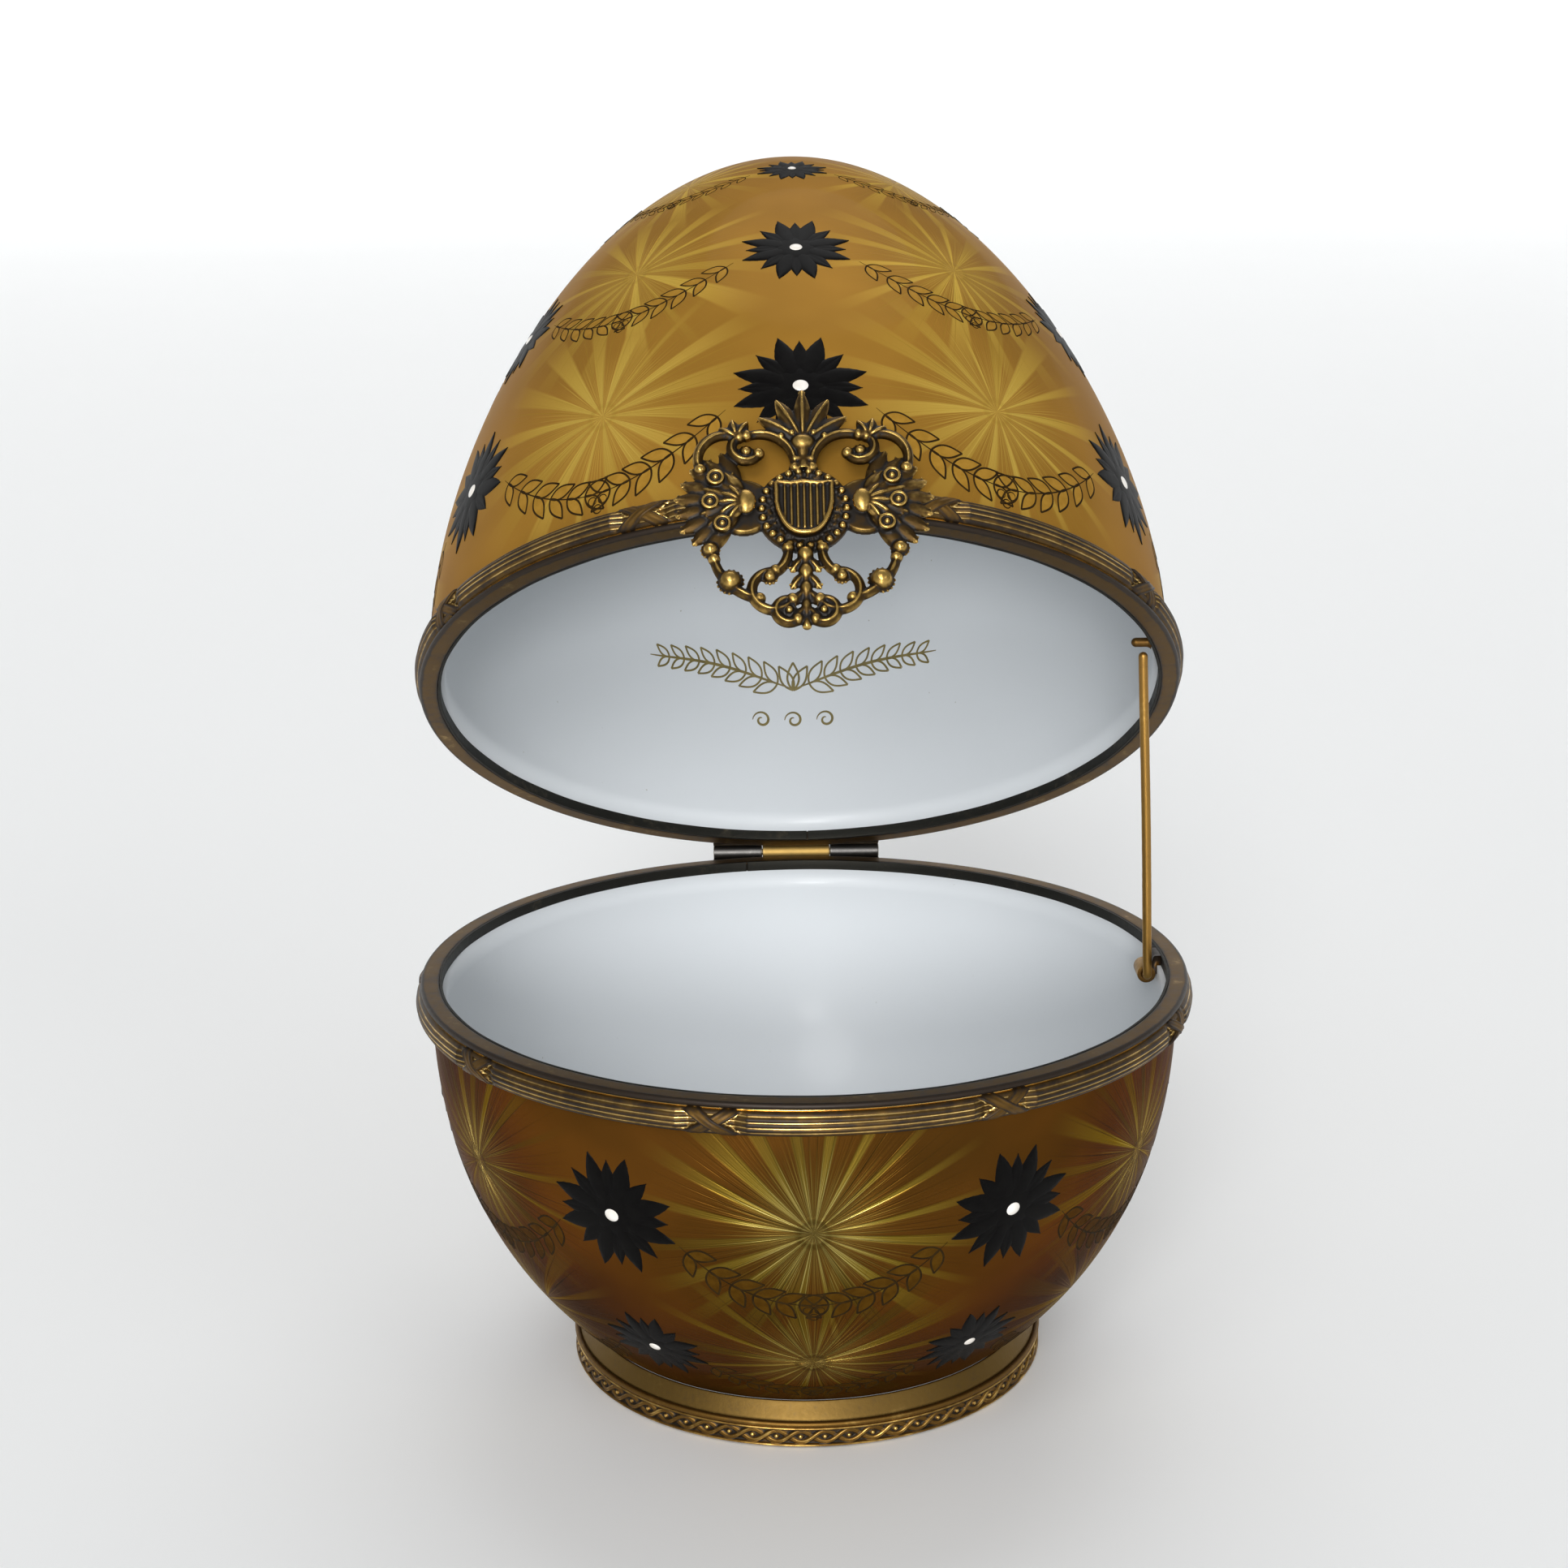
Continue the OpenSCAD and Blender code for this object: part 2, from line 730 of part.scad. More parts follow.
module shield_outline() {
    r = shield_w * shield_curve;
    translate([-shield_w / 2, 0])
        square([shield_w, shield_h * shield_shoulder]);
    intersection() {
        translate([shield_w / 2 - r, 0])
            circle(r = r, $fn = wide_fn);
        translate([r - shield_w / 2, 0])
            circle(r = r, $fn = wide_fn);
        translate([-shield_w / 2, -shield_h])
            square([shield_w, shield_h * (1 + shield_shoulder / 2)]);
    }
}

// Fan of leaves that tops the badge
module each_plume() {
    for (i = [-2 : 2])
        translate([0, plume_z])
            rotate(plume_fan * i)
                children();
}

// Openwork outline of the whole badge
module badge_plate() {
    circle(r = collar_r);
    for (side = [0, 1])
        mirror([side, 0]) {
            for (scroll = scrolls)
                translate(scroll[0])
                    arc_bar(scroll[1], bar_w, scroll[2], scroll[3]);
            for (boss = bosses)
                translate(boss[0])
                    circle(r = boss[1] + bar_w / 4);
            each_feather()
                leaf(feather_len, feather_w);
            each_bud()
                leaf(bud_len, bud_w);
            translate(wing_root)
                circle(r = shoulder_r);
        }
    each_plume()
        leaf(plume_len, plume_w);
    translate([0, plume_z])
        circle(r = plume_w);
    translate([0, tail_z])
        leaf(tail_len, tail_w);
}

// Border and upright ribs on the shield's face
module shield_relief() {
    inner = 1 - border_share;
    difference() {
        shield_outline();
        scale([inner, inner])
            shield_outline();
    }
    intersection() {
        shield_outline();
        for (i = [0 : rib_count - 1])
            translate([shield_w * inner * ((i + 1) / (rib_count + 1) - 1 / 2) - rib_w / 2, -shield_h])
                square([rib_w, 2 * shield_h]);
    }
}

// Raised parts that stand on the plate of the badge
module badge_relief() {
    linear_extrude(height = shield_t)
        shield_outline();
    linear_extrude(height = shield_t + border_t)
        shield_relief();
    for (i = [0 : pearl_count - 1])
        rotate(360 * (i + 1 / 2) / pearl_count)
            translate([0, collar_r - pearl_r - pearl_inset, 0])
                sphere(r = pearl_r, $fn = 32);
    for (side = [0, 1])
        mirror([side, 0, 0]) {
            linear_extrude(height = spine_t)
                for (scroll = scrolls)
                    translate(scroll[0])
                        arc_bar(scroll[1], bar_w * spine_share, scroll[2], scroll[3]);
            linear_extrude(height = covert_t)
                each_covert()
                    leaf(covert_len, covert_w);
            for (place = disc_places)
                translate([place[0], place[1], 0])
                    cylinder(h = disc_t, r = disc_r);
            for (boss = bosses)
                translate([boss[0][0], boss[0][1], 0])
                    sphere(r = boss[1], $fn = 32);
            each_feather()
                translate([0, feather_len * (1 - rib_share), 0])
                    leaf_rib(feather_len * rib_share * rib_share, feather_w * rib_share);
        }
    each_plume()
        translate([0, plume_len * (1 - rib_share), 0])
            leaf_rib(plume_len * rib_share * rib_share, plume_w * rib_share);
    translate([0, plume_z, 0])
        sphere(r = plume_w * rib_share, $fn = 32);
    translate([0, tail_z + tail_len * (1 - rib_share) / 2, 0])
        leaf_rib(tail_len * rib_share, tail_w * rib_share);
}

// Cast openwork badge: ribbed shield, beaded collar, wings with two rows of feathers and blank
// discs, spined scrolls, fan-shaped top and leafy tail
module badge() {
    color("darkgoldenrod")
        open_lid()
            translate([0, badge_y, rim_z])
                rotate([90, 0, 0])
                    union() {
                        linear_extrude(height = plate_t)
                            badge_plate();
                        translate([0, 0, plate_t])
                            badge_relief();
                    }
}

module badge_studs() {
    reach = band_r + badge_gap;
    color("gray")
        open_lid()
            for (side = [-1, 1])
                translate([side * stud_span / 2, -reach, rim_z + stud_z])
                    rotate([-90, 0, 0])
                        difference() {
                            cylinder(h = band_t, r = stud_r);
                            translate([-side * stud_span / 2, -2 * stud_r, reach])
                                rotate([-90, 0, 0])
                                    cylinder(h = 4 * stud_r, r = band_r, $fn = wide_fn);
                        }
}

bowl_shell();
bowl_rim_band();
bowl_band_ties();
bowl_rim_lining();
foot_ring();
foot_frieze();
foot_bead();
bowl_hinge_seat();
hinge_tube_left();
hinge_tube_right();
hinge_pin();
stay_pivot_tube();
stay_rod();
stay_end_button();
lid_shell();
lid_rim_band();
lid_band_ties();
lid_rim_lining();
lid_hinge_seat();
hinge_tube_middle();
stay_peg();
badge();
badge_studs();
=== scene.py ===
"""Looks of a hinged porcelain egg box on a brass foot. Lengths below are in millimetres."""
import json
import math
import random

import bpy
import numpy as np
from mathutils import Matrix, Vector

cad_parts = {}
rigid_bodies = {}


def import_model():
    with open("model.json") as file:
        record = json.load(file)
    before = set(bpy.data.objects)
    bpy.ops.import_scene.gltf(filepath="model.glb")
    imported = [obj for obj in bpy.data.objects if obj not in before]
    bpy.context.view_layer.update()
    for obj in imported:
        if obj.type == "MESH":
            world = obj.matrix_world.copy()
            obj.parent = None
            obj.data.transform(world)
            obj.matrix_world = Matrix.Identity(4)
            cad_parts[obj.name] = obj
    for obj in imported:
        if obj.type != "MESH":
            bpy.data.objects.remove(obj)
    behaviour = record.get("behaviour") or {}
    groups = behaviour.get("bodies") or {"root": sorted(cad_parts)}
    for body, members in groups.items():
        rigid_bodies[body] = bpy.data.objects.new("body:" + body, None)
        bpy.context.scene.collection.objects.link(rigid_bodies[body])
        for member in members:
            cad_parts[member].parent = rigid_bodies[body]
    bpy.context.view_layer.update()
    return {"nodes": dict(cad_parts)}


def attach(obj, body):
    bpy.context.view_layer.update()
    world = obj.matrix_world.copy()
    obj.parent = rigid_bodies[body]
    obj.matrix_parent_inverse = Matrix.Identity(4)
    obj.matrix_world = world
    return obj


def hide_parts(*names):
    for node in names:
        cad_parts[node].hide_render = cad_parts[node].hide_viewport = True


MM = 0.001
TAU = 2 * math.pi
rng = random.Random(7)
noise_rng = np.random.default_rng(11)

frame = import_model()

# Driving dimensions, as in the solids
RIM_Z = 57.7
LID_H = 87.4
SHELL_R = 52.2
WALL = 2.0
LID_SWELL = 2.2
LID_SIDE_H = 33.4
CROWN_REACH = 31.2
BOWL_SIDE_H = 18.1
SHOULDER_REACH = 17.1
SHOULDER_RISE = 14.1
FLOOR_Z = 6.4
BAND_H = 4.6
BAND_T = 2.2
BAND_EDGE = 0.7
LIP_T = 0.6
BEAD_H = 0.9
REEDS = 5
REED_DEPTH = 0.25
HALF_GAP = 0.15
TIES = 9
BOWL_TIE_START = -13.5
LID_TIE_START = -22.0
RIBBON_W = 1.5
RIBBON_SLOPE = math.radians(32)
LINING_T = 0.4
LINING_H = 1.5
LINING_R = 50.7
HINGE_W = 26.6
MIDDLE_W = 10.6
TUBE_R = 1.1
PIN_R = 0.5
TUBE_GAP = 0.25
HINGE_Y = 55.4
OPEN = math.radians(38.6)
WIRE_R = 0.65
PIVOT_X = 48.7
PIVOT_DROP = 2.9
PIVOT_TUBE_R = 1.3
PIVOT_TUBE_W = 4.0
PIVOT_GAP = 0.15
PEG_R = 0.65
PEG_H = 0.9
PEG_END = 45.3
STAY_TOP_X = 47.0
STAY_GAP = 0.7
FOOT_R = 33.8
FOOT_H = 6.2
WAIST_R = 31.6
BASE_R = 31.0
BASE_Z = 2.4
BASE_RING_W = 2.6
BASE_HOLLOW = 1.2
TREAD_W = 1.7
FRIEZE_T = 0.35
FRIEZE_RELIEF = 0.35
FRIEZE_H = 2.8
FRIEZE_Z = 0.3
FRIEZE_LINKS = 64
BEAD_R = 0.4
FLANGE_R = 28.6
FLANGE_Z = 1.4

BAND_R = SHELL_R + BAND_T
INNER_R = SHELL_R - WALL
REBATE_R = LINING_R + LINING_T
LAND = HALF_GAP + LIP_T
LINING_END = HALF_GAP + LINING_H
WALL_R = FOOT_R - FRIEZE_T - FRIEZE_RELIEF
LEDGE_Z = FRIEZE_Z + FRIEZE_H + 2 * BEAD_R + 0.1


# Places
def down(r, az, depth):
    """Point of the bowl: radius, azimuth from the front towards +X, depth below the rim."""
    return np.stack([r * np.sin(az), -r * np.cos(az), RIM_Z - depth], -1)


def opened(points):
    """Points of the closed lid, moved to where the open lid holds them."""
    y = points[..., 1] - HINGE_Y
    z = points[..., 2] - RIM_Z
    out = points.copy()
    out[..., 1] = HINGE_Y + y * math.cos(OPEN) + z * math.sin(OPEN)
    out[..., 2] = RIM_Z - y * math.sin(OPEN) + z * math.cos(OPEN)
    return out


def up(r, az, height):
    """Point of the open lid: radius, azimuth, height above the rim of the closed lid."""
    return opened(np.stack([r * np.sin(az), -r * np.cos(az), RIM_Z + height], -1))


def bezier(p, n, start=0.0, end=1.0):
    """Points of a cubic curve with the control points p."""
    t = np.linspace(start, end, n)[:, None]
    p = np.asarray(p, float)
    return (1 - t) ** 3 * p[0] + 3 * t * (1 - t) ** 2 * p[1] + 3 * t * t * (1 - t) * p[2] + t ** 3 * p[3]


def bezier_way(p, n, start=0.0, end=1.0):
    """Unit directions along that curve."""
    t = np.linspace(start, end, n)[:, None]
    p = np.asarray(p, float)
    d = (1 - t) ** 2 * (p[1] - p[0]) + 2 * t * (1 - t) * (p[2] - p[1]) + t * t * (p[3] - p[2])
    return d / np.linalg.norm(d, axis=1, keepdims=True)


BOWL_DEPTH = RIM_Z - FOOT_H
LID_CURVE = [[SHELL_R, BAND_H], [SHELL_R + LID_SWELL, LID_SIDE_H], [CROWN_REACH, LID_H], [0, LID_H]]
BOWL_CURVE = [[SHELL_R, BAND_H], [SHELL_R, BOWL_SIDE_H],
              [WAIST_R + SHOULDER_REACH, BOWL_DEPTH - SHOULDER_RISE], [WAIST_R, BOWL_DEPTH]]
WALL_END = 0.9


# Meshes
def new_object(name, verts, faces, smooth=True):
    mesh = bpy.data.meshes.new(name)
    verts = np.asarray(verts, float).reshape(-1, 3) * MM
    mesh.from_pydata(verts.tolist(), [], [tuple(f) for f in faces])
    mesh.validate()
    if smooth:
        mesh.polygons.foreach_set("use_smooth", [True] * len(mesh.polygons))
    obj = bpy.data.objects.new(name, mesh)
    bpy.context.scene.collection.objects.link(obj)
    return obj


def grid_faces(nu, nv, wrap_u=False, wrap_v=False, flip=False):
    """Quads of a grid of nu by nv points, closed round in u or v where it wraps."""
    i = np.arange(nu if wrap_u else nu - 1)
    j = np.arange(nv if wrap_v else nv - 1)
    i, j = np.meshgrid(i, j, indexing="ij")
    a = i * nv + j
    b = ((i + 1) % nu) * nv + j
    c = ((i + 1) % nu) * nv + (j + 1) % nv
    d = i * nv + (j + 1) % nv
    quads = np.stack([a, b, c, d], -1).reshape(-1, 4)
    return quads[:, ::-1] if flip else quads


def capped(nu, nv, flip=False):
    """Faces of a sleeve of nu rings with nv points each, and of its two ends."""
    faces = list(grid_faces(nu, nv, False, True))
    faces += [range(nv)[::-1], range((nu - 1) * nv, nu * nv)]
    return [f[::-1] for f in faces] if flip else faces


def ring_angles(n):
    return np.linspace(0, TAU, n, endpoint=False)


def dome(t):
    """Height of a half circle over -1 to 1."""
    return np.sqrt(np.clip(1 - t * t, 0, 1))


def side_way(path):
    """Unit directions to the left of a plane path."""
    way = np.gradient(path, axis=0)
    way /= np.maximum(np.linalg.norm(way, axis=1, keepdims=True), 1e-9)
    return np.stack([-way[:, 1], way[:, 0]], 1)


def swept(at, az, section):
    """Points of a section, as radius and distance, at every azimuth."""
    az = np.asarray(az)[:, None]
    return at(section[:, 0] + 0 * az, az + 0 * section[:, 0], section[:, 1] + 0 * az)


def point_values(obj, name, values):
    layer = obj.data.attributes.new(name, "FLOAT", "POINT")
    layer.data.foreach_set("value", np.asarray(values, np.float32).ravel())


def corner_map(obj, name, per_corner):
    layer = obj.data.uv_layers.new(name=name)
    layer.data.foreach_set("uv", np.asarray(per_corner, np.float32).ravel())


def spots(mesh):
    """Vertex positions in millimetres."""
    co = np.empty(len(mesh.vertices) * 3)
    mesh.vertices.foreach_get("co", co)
    return co.reshape(-1, 3) / MM


def wear(obj, reach=3, gain=1.0, extra=0.0):
    """Stores how far each point stands out of its surroundings: 0 in hollows, 1 on edges."""
    mesh = obj.data
    n = len(mesh.vertices)
    co = spots(mesh)
    normal = np.empty(n * 3, np.float32)
    mesh.vertex_normals.foreach_get("vector", normal)
    normal = normal.reshape(-1, 3)
    e = np.empty(len(mesh.edges) * 2, np.int64)
    mesh.edges.foreach_get("vertices", e)
    e = e.reshape(-1, 2)
    count = np.bincount(e.ravel(), minlength=n).clip(1)[:, None]

    def around(values):
        total = np.bincount(e[:, 0], weights=values[e[:, 1]], minlength=n)
        return total + np.bincount(e[:, 1], weights=values[e[:, 0]], minlength=n)

    avg = co
    for _ in range(reach):
        avg = 0.5 * avg + 0.5 * np.stack([around(axis) for axis in avg.T], 1) / count
    stand = ((co - avg) * normal).sum(1) * gain
    for _ in range(2):
        stand = 0.5 * stand + 0.5 * around(stand) / count[:, 0]
    point_values(obj, "wear", np.clip(0.5 + stand + extra, 0, 1))


def turned(name, profile, n, at):
    """Closed ring turned from a section of radius and distance."""
    points = swept(at, ring_angles(n), np.asarray(profile))
    return new_object(name, points, grid_faces(n, len(profile), True, True))


def rounded(points, radius, steps=3):
    """Polygon with its corners cut round."""
    pts = [np.asarray(p, float) for p in points]
    out = []
    n = len(pts)
    for k, p in enumerate(pts):
        a, b = pts[k - 1], pts[(k + 1) % n]
        la, lb = np.linalg.norm(a - p), np.linalg.norm(b - p)
        r = min(radius, 0.45 * la, 0.45 * lb)
        s, e = p + (a - p) / la * r, p + (b - p) / lb * r
        for t in np.linspace(0, 1, steps + 1):
            out.append((1 - t) ** 2 * s + 2 * t * (1 - t) * p + t * t * e)
    return np.array(out)


def tube(name, path, radii, n=24):
    """Round rod along a path, with a radius at each point."""
    way = np.gradient(path, axis=0)
    way /= np.linalg.norm(way, axis=1, keepdims=True)
    side = np.cross(way[0], [0.3, 0.5, 0.81])
    side /= np.linalg.norm(side)
    rings = []
    a = ring_angles(n)[:, None]
    for p, w, r in zip(path, way, radii):
        side = side - w * side.dot(w)
        side /= np.linalg.norm(side)
        rings.append(p + r * (np.cos(a) * side + np.sin(a) * np.cross(w, side)))
    return new_object(name, np.concatenate(rings), capped(len(path), n, True))


class Gather:
    """Collects the points and faces of many small shapes."""

    def __init__(self):
        self.verts = []
        self.faces = []
        self.count = 0

    def take(self, verts, faces):
        verts = np.asarray(verts, float).reshape(-1, 3)
        self.verts.append(verts)
        self.faces += [tuple(int(i) + self.count for i in f) for f in faces]
        self.count += len(verts)

    def whole(self, name):
        return new_object(name, np.concatenate(self.verts), self.faces)


def joined(name, objects):
    """One object out of several."""
    parts = Gather()
    for obj in objects:
        mesh = obj.data
        parts.take(spots(mesh), [p.vertices for p in mesh.polygons])
        bpy.data.objects.remove(obj)
        bpy.data.meshes.remove(mesh)
    return parts.whole(name)


# Materials
MAP_MM = 100
STAR_REACH = 26
TIP_REACH = 24


class Nodes:
    """Short names for building a node tree."""

    def __init__(self, name):
        self.mat = bpy.data.materials.new(name)
        self.mat.use_nodes = True
        self.tree = self.mat.node_tree
        self.tree.nodes.clear()
        self.out = self.node("OutputMaterial")
        self.bsdf = self.node("BsdfPrincipled")
        self.tree.links.new(self.bsdf.outputs[0], self.out.inputs[0])

    def node(self, kind):
        return self.tree.nodes.new("ShaderNode" + kind)

    def put(self, socket, value):
        if isinstance(value, bpy.types.NodeSocket):
            self.tree.links.new(value, socket)
        else:
            socket.default_value = value

    def set(self, name, value):
        self.put(self.bsdf.inputs[name], value)

    def math(self, op, a, b=0.0, c=None):
        n = self.node("Math")
        n.operation = op
        self.put(n.inputs[0], a)
        self.put(n.inputs[1], b)
        if c is not None:
            self.put(n.inputs[2], c)
        return n.outputs[0]

    def add(self, a, b):
        return self.math("ADD", a, b)

    def sub(self, a, b):
        return self.math("SUBTRACT", a, b)

    def mul(self, a, b):
        return self.math("MULTIPLY", a, b)

    def mul_add(self, a, b, c):
        return self.math("MULTIPLY_ADD", a, b, c)

    def uv(self, name):
        n = self.node("UVMap")
        n.uv_map = name
        s = self.node("SeparateXYZ")
        self.tree.links.new(n.outputs[0], s.inputs[0])
        return s.outputs[0], s.outputs[1]

    def attr(self, name):
        n = self.node("Attribute")
        n.attribute_name = name
        return n.outputs["Fac"]

    def objects(self):
        return self.node("TexCoord").outputs["Object"]

    def combine(self, x, y, z=0.0):
        n = self.node("CombineXYZ")
        for k, v in enumerate((x, y, z)):
            self.put(n.inputs[k], v)
        return n.outputs[0]

    def noise(self, vector, scale, detail=3.0, rough=0.55, dims="3D"):
        n = self.node("TexNoise")
        n.noise_dimensions = dims
        self.put(n.inputs["W" if dims == "1D" else "Vector"], vector)
        n.inputs["Scale"].default_value = scale
        n.inputs["Detail"].default_value = detail
        n.inputs["Roughness"].default_value = rough
        return n.outputs["Fac"]

    def draw(self, number):
        """A value from 0 to 1 that belongs to the number."""
        n = self.node("TexWhiteNoise")
        n.noise_dimensions = "1D"
        self.put(n.inputs["W"], number)
        return n.outputs["Value"]

    def rays(self, where, count, thin, wide, soft):
        """Rays at even steps of a turn, each with its own width, from thin to wide, and tone."""
        at = self.mul(where, float(count))
        cell = self.math("FLOOR", at)
        width = self.mul_add(self.draw(cell), 0.5 * (wide - thin), 0.5 * thin)
        off = self.math("ABSOLUTE", self.sub(self.sub(at, cell), 0.5))
        return self.ramp(self.sub(width, off), -soft, soft), self.draw(self.add(cell, 0.37))

    def ramp(self, value, low, high):
        n = self.node("MapRange")
        n.interpolation_type = "SMOOTHSTEP"
        self.put(n.inputs[0], value)
        self.put(n.inputs[1], low)
        self.put(n.inputs[2], high)
        return n.outputs[0]

    def most(self, values):
        """The largest of several values."""
        top = values[0]
        for value in values[1:]:
            top = self.math("MAXIMUM", top, value)
        return top

    def mix(self, fac, a, b):
        n = self.node("Mix")
        n.data_type = "RGBA"
        self.put(n.inputs["Factor"], fac)
        sockets = [s for s in n.inputs if s.type == "RGBA"]
        for s, v in zip(sockets, (a, b)):
            self.put(s, v)
        return [s for s in n.outputs if s.type == "RGBA"][0]

    def bump(self, height, strength, distance):
        n = self.node("Bump")
        n.inputs["Strength"].default_value = strength
        n.inputs["Distance"].default_value = distance
        self.put(n.inputs["Height"], height)
        self.tree.links.new(n.outputs[0], self.bsdf.inputs["Normal"])


def rgb(r, g, b):
    """Shader colour of a display colour given as 0 to 255."""
    def line(c):
        c /= 255
        return c / 12.92 if c <= 0.04045 else ((c + 0.055) / 1.055) ** 2.4
    return (line(r), line(g), line(b), 1.0)


def antique(name, dark, mid, bright, rough=(0.34, 0.62), hollow=(0.34, 0.52), polish=(0.54, 0.74),
            grain=900.0, bump=0.25):
    """Brass that is dark in its hollows and rubbed bright where it stands out."""
    m = Nodes(name)
    spot = m.objects()
    stand = m.attr("wear")
    patch = m.noise(spot, 160.0, 4.0)
    fine = m.noise(spot, grain, 3.0)
    level = m.add(stand, m.mul(m.sub(patch, 0.5), 0.35))
    level = m.add(level, m.mul(m.sub(fine, 0.5), 0.2))
    body = m.ramp(level, hollow[0], hollow[1])
    shine = m.ramp(level, polish[0], polish[1])
    m.set("Base Color", m.mix(shine, m.mix(body, rgb(*dark), rgb(*mid)), rgb(*bright)))
    m.set("Metallic", m.add(0.5, m.mul(body, 0.5)))
    gloss = m.sub(rough[1], m.mul(shine, rough[1] - rough[0]))
    m.set("Roughness", m.add(gloss, m.mul(m.sub(fine, 0.5), 0.15)))
    m.bump(m.add(fine, m.mul(patch, 0.6)), bump, 0.00006)
    return m.mat


def egg_enamel(name, rows, columns, shift, crown, broad, tones, edge, metallic, rough, relief):
    """Engine-turned sunbursts under a clear glaze. rows holds the star centres' distances along the
    wall, columns their number round the egg, shift where the first one is, in steps, and crown where
    the tip is. Every star fades with its own distance, and the strongest ray shows."""
    # tones: ground, darker ground, ray and line colours, then the glint, a highlight painted into the
    # colour
    base, deep, ray, line, painted_glint = [rgb(*tone) for tone in tones]
    m = Nodes(name)
    turn, arc = m.uv("place")
    radius = m.uv("girth")[0]
    arc = m.mul(arc, MAP_MM)
    radius = m.mul(radius, MAP_MM)
    turns = m.sub(m.mul(turn, columns), shift)
    column = m.math("ROUND", turns)
    across = m.mul(m.sub(turns, column), TAU / columns)
    across = m.mul(across, radius)
    own = m.mul(m.math("FLOORED_MODULO", column, columns), 7.0)
    own_width = m.math("MINIMUM", m.mul(radius, 1.04 * math.pi / columns), STAR_REACH)
    stars = []
    for row, centre in enumerate(rows):
        along = m.sub(arc, centre)
        angle = m.math("DIVIDE", m.math("ARCTAN2", along, across), TAU)
        reach = m.math("SQRT", m.mul_add(across, across, m.mul(along, along)))
        stars.append((m.add(m.add(angle, own), 3.0 * row), reach, own_width))
    if crown:
        stars.append((m.add(turn, 91.0), m.sub(crown, arc), TIP_REACH))
    light, dark, thin, fine, core = [], [], [], [], []
    for where, reach, limit in stars:
        fade = m.ramp(reach, limit, 5.0)
        ray_mask, ray_tone = m.rays(where, broad, 0.14, 0.52, 0.045)
        ray_mask = m.mul(ray_mask, fade)
        lit = m.mul(ray_mask, m.mul_add(ray_tone, 0.8, 0.2))
        light.append(lit)
        dark.append(m.sub(ray_mask, lit))
        line_mask, line_tone = m.rays(where, broad * 4, 0.04, 0.16, 0.05)
        thin.append(m.mul(m.mul(line_mask, line_tone), fade))
        grain = m.noise(m.mul(where, 260.0), 1.0, 2.0, 0.6, "1D")
        fine.append(m.mul(grain, m.ramp(reach, limit, 2.0)))
        core.append(reach)
    light, dark, thin, fine = [m.most(sheet) for sheet in (light, dark, thin, fine)]
    nearest = m.mul(m.most([m.mul(reach, -1.0) for reach in core]), -1.0)
    boss = m.ramp(nearest, 1.9, 1.5)
    rim = m.sub(m.ramp(nearest, 2.6, 1.9), m.ramp(nearest, 1.7, 1.2))
    near = m.ramp(nearest, 17.0, 3.0)
    cloud = m.noise(m.combine(m.mul(turn, 9.0), m.mul(arc, 0.04)), 1.0, 3.0)
    colour = m.mix(m.ramp(cloud, 0.3, 0.75), deep, base)
    colour = m.mix(m.mul(dark, 0.8), colour, line)
    colour = m.mix(light, colour, ray)
    colour = m.mix(m.mul(thin, 0.8), colour, line)
    colour = m.mix(m.mul(m.ramp(fine, 0.3, 0.9), 0.8), colour, ray)
    # Painted highlight: near each star centre, the fine grain on the light rays takes the painted glint
    # colour, and each boss takes a faint touch of it. This is a sparkle painted into the enamel.
    painted_highlight_mask = m.mul(m.ramp(fine, 0.36, 0.72), m.mul_add(light, 0.9, 0.1))
    painted_highlight_mask = m.mul(painted_highlight_mask, m.mul_add(near, 0.8, 0.2))
    colour = m.mix(m.math("MAXIMUM", painted_highlight_mask, m.mul(boss, 0.08)), colour, painted_glint)
    colour = m.mix(m.mul(rim, 0.22), colour, line)
    m.set("Base Color", colour)
    m.set("Metallic", m.mul_add(light, 0.25, metallic))
    m.set("Roughness", m.sub(rough, m.mul(fine, 0.12)))
    m.set("Coat Weight", 0.04)
    m.set("Coat Roughness", 0.08)
    m.set("Specular IOR Level", 0.05)
    m.set("Specular Tint", rgb(*edge))
    height = m.mul_add(fine, 0.7, m.mul(light, 0.7))
    height = m.mul_add(thin, 0.4, height)
    height = m.mul_add(rim, -0.8, height)
    m.bump(height, relief, 0.0002)
    return m.mat


def glazed_white():
    m = Nodes("porcelain_white")
    spot = m.objects()
    cloud = m.noise(spot, 14.0, 2.0)
    speck = m.noise(spot, 900.0, 1.0)
    colour = m.mix(m.ramp(cloud, 0.2, 0.8), rgb(208, 212, 215), rgb(213, 217, 220))
    m.set("Base Color", m.mix(m.ramp(speck, 0.80, 0.86), colour, rgb(160, 160, 146)))
    m.set("Roughness", 0.5)
    m.set("Coat Weight", 0.1)
    m.set("Coat Roughness", 0.16)
    m.bump(m.noise(spot, 260.0, 2.0), 0.06, 0.00005)
    return m.mat


def enamel(name, colour, other, rough=0.22, coat=0.5, gloss=0.5, scale=700.0, metal=0.0):
    m = Nodes(name)
    spot = m.objects()
    n = m.noise(spot, scale, 3.0)
    m.set("Base Color", m.mix(m.ramp(n, 0.3, 0.7), rgb(*colour), rgb(*other)))
    m.set("Roughness", m.add(rough, m.mul(n, 0.12)))
    m.set("Specular IOR Level", gloss)
    m.set("Metallic", metal)
    if metal:
        m.set("Specular Tint", rgb(*other))
    m.set("Coat Weight", coat)
    m.set("Coat Roughness", 0.1)
    m.bump(n, 0.15, 0.00006)
    return m.mat


def dress(obj, *materials):
    obj.data.materials.clear()
    for m in materials:
        obj.data.materials.append(m)


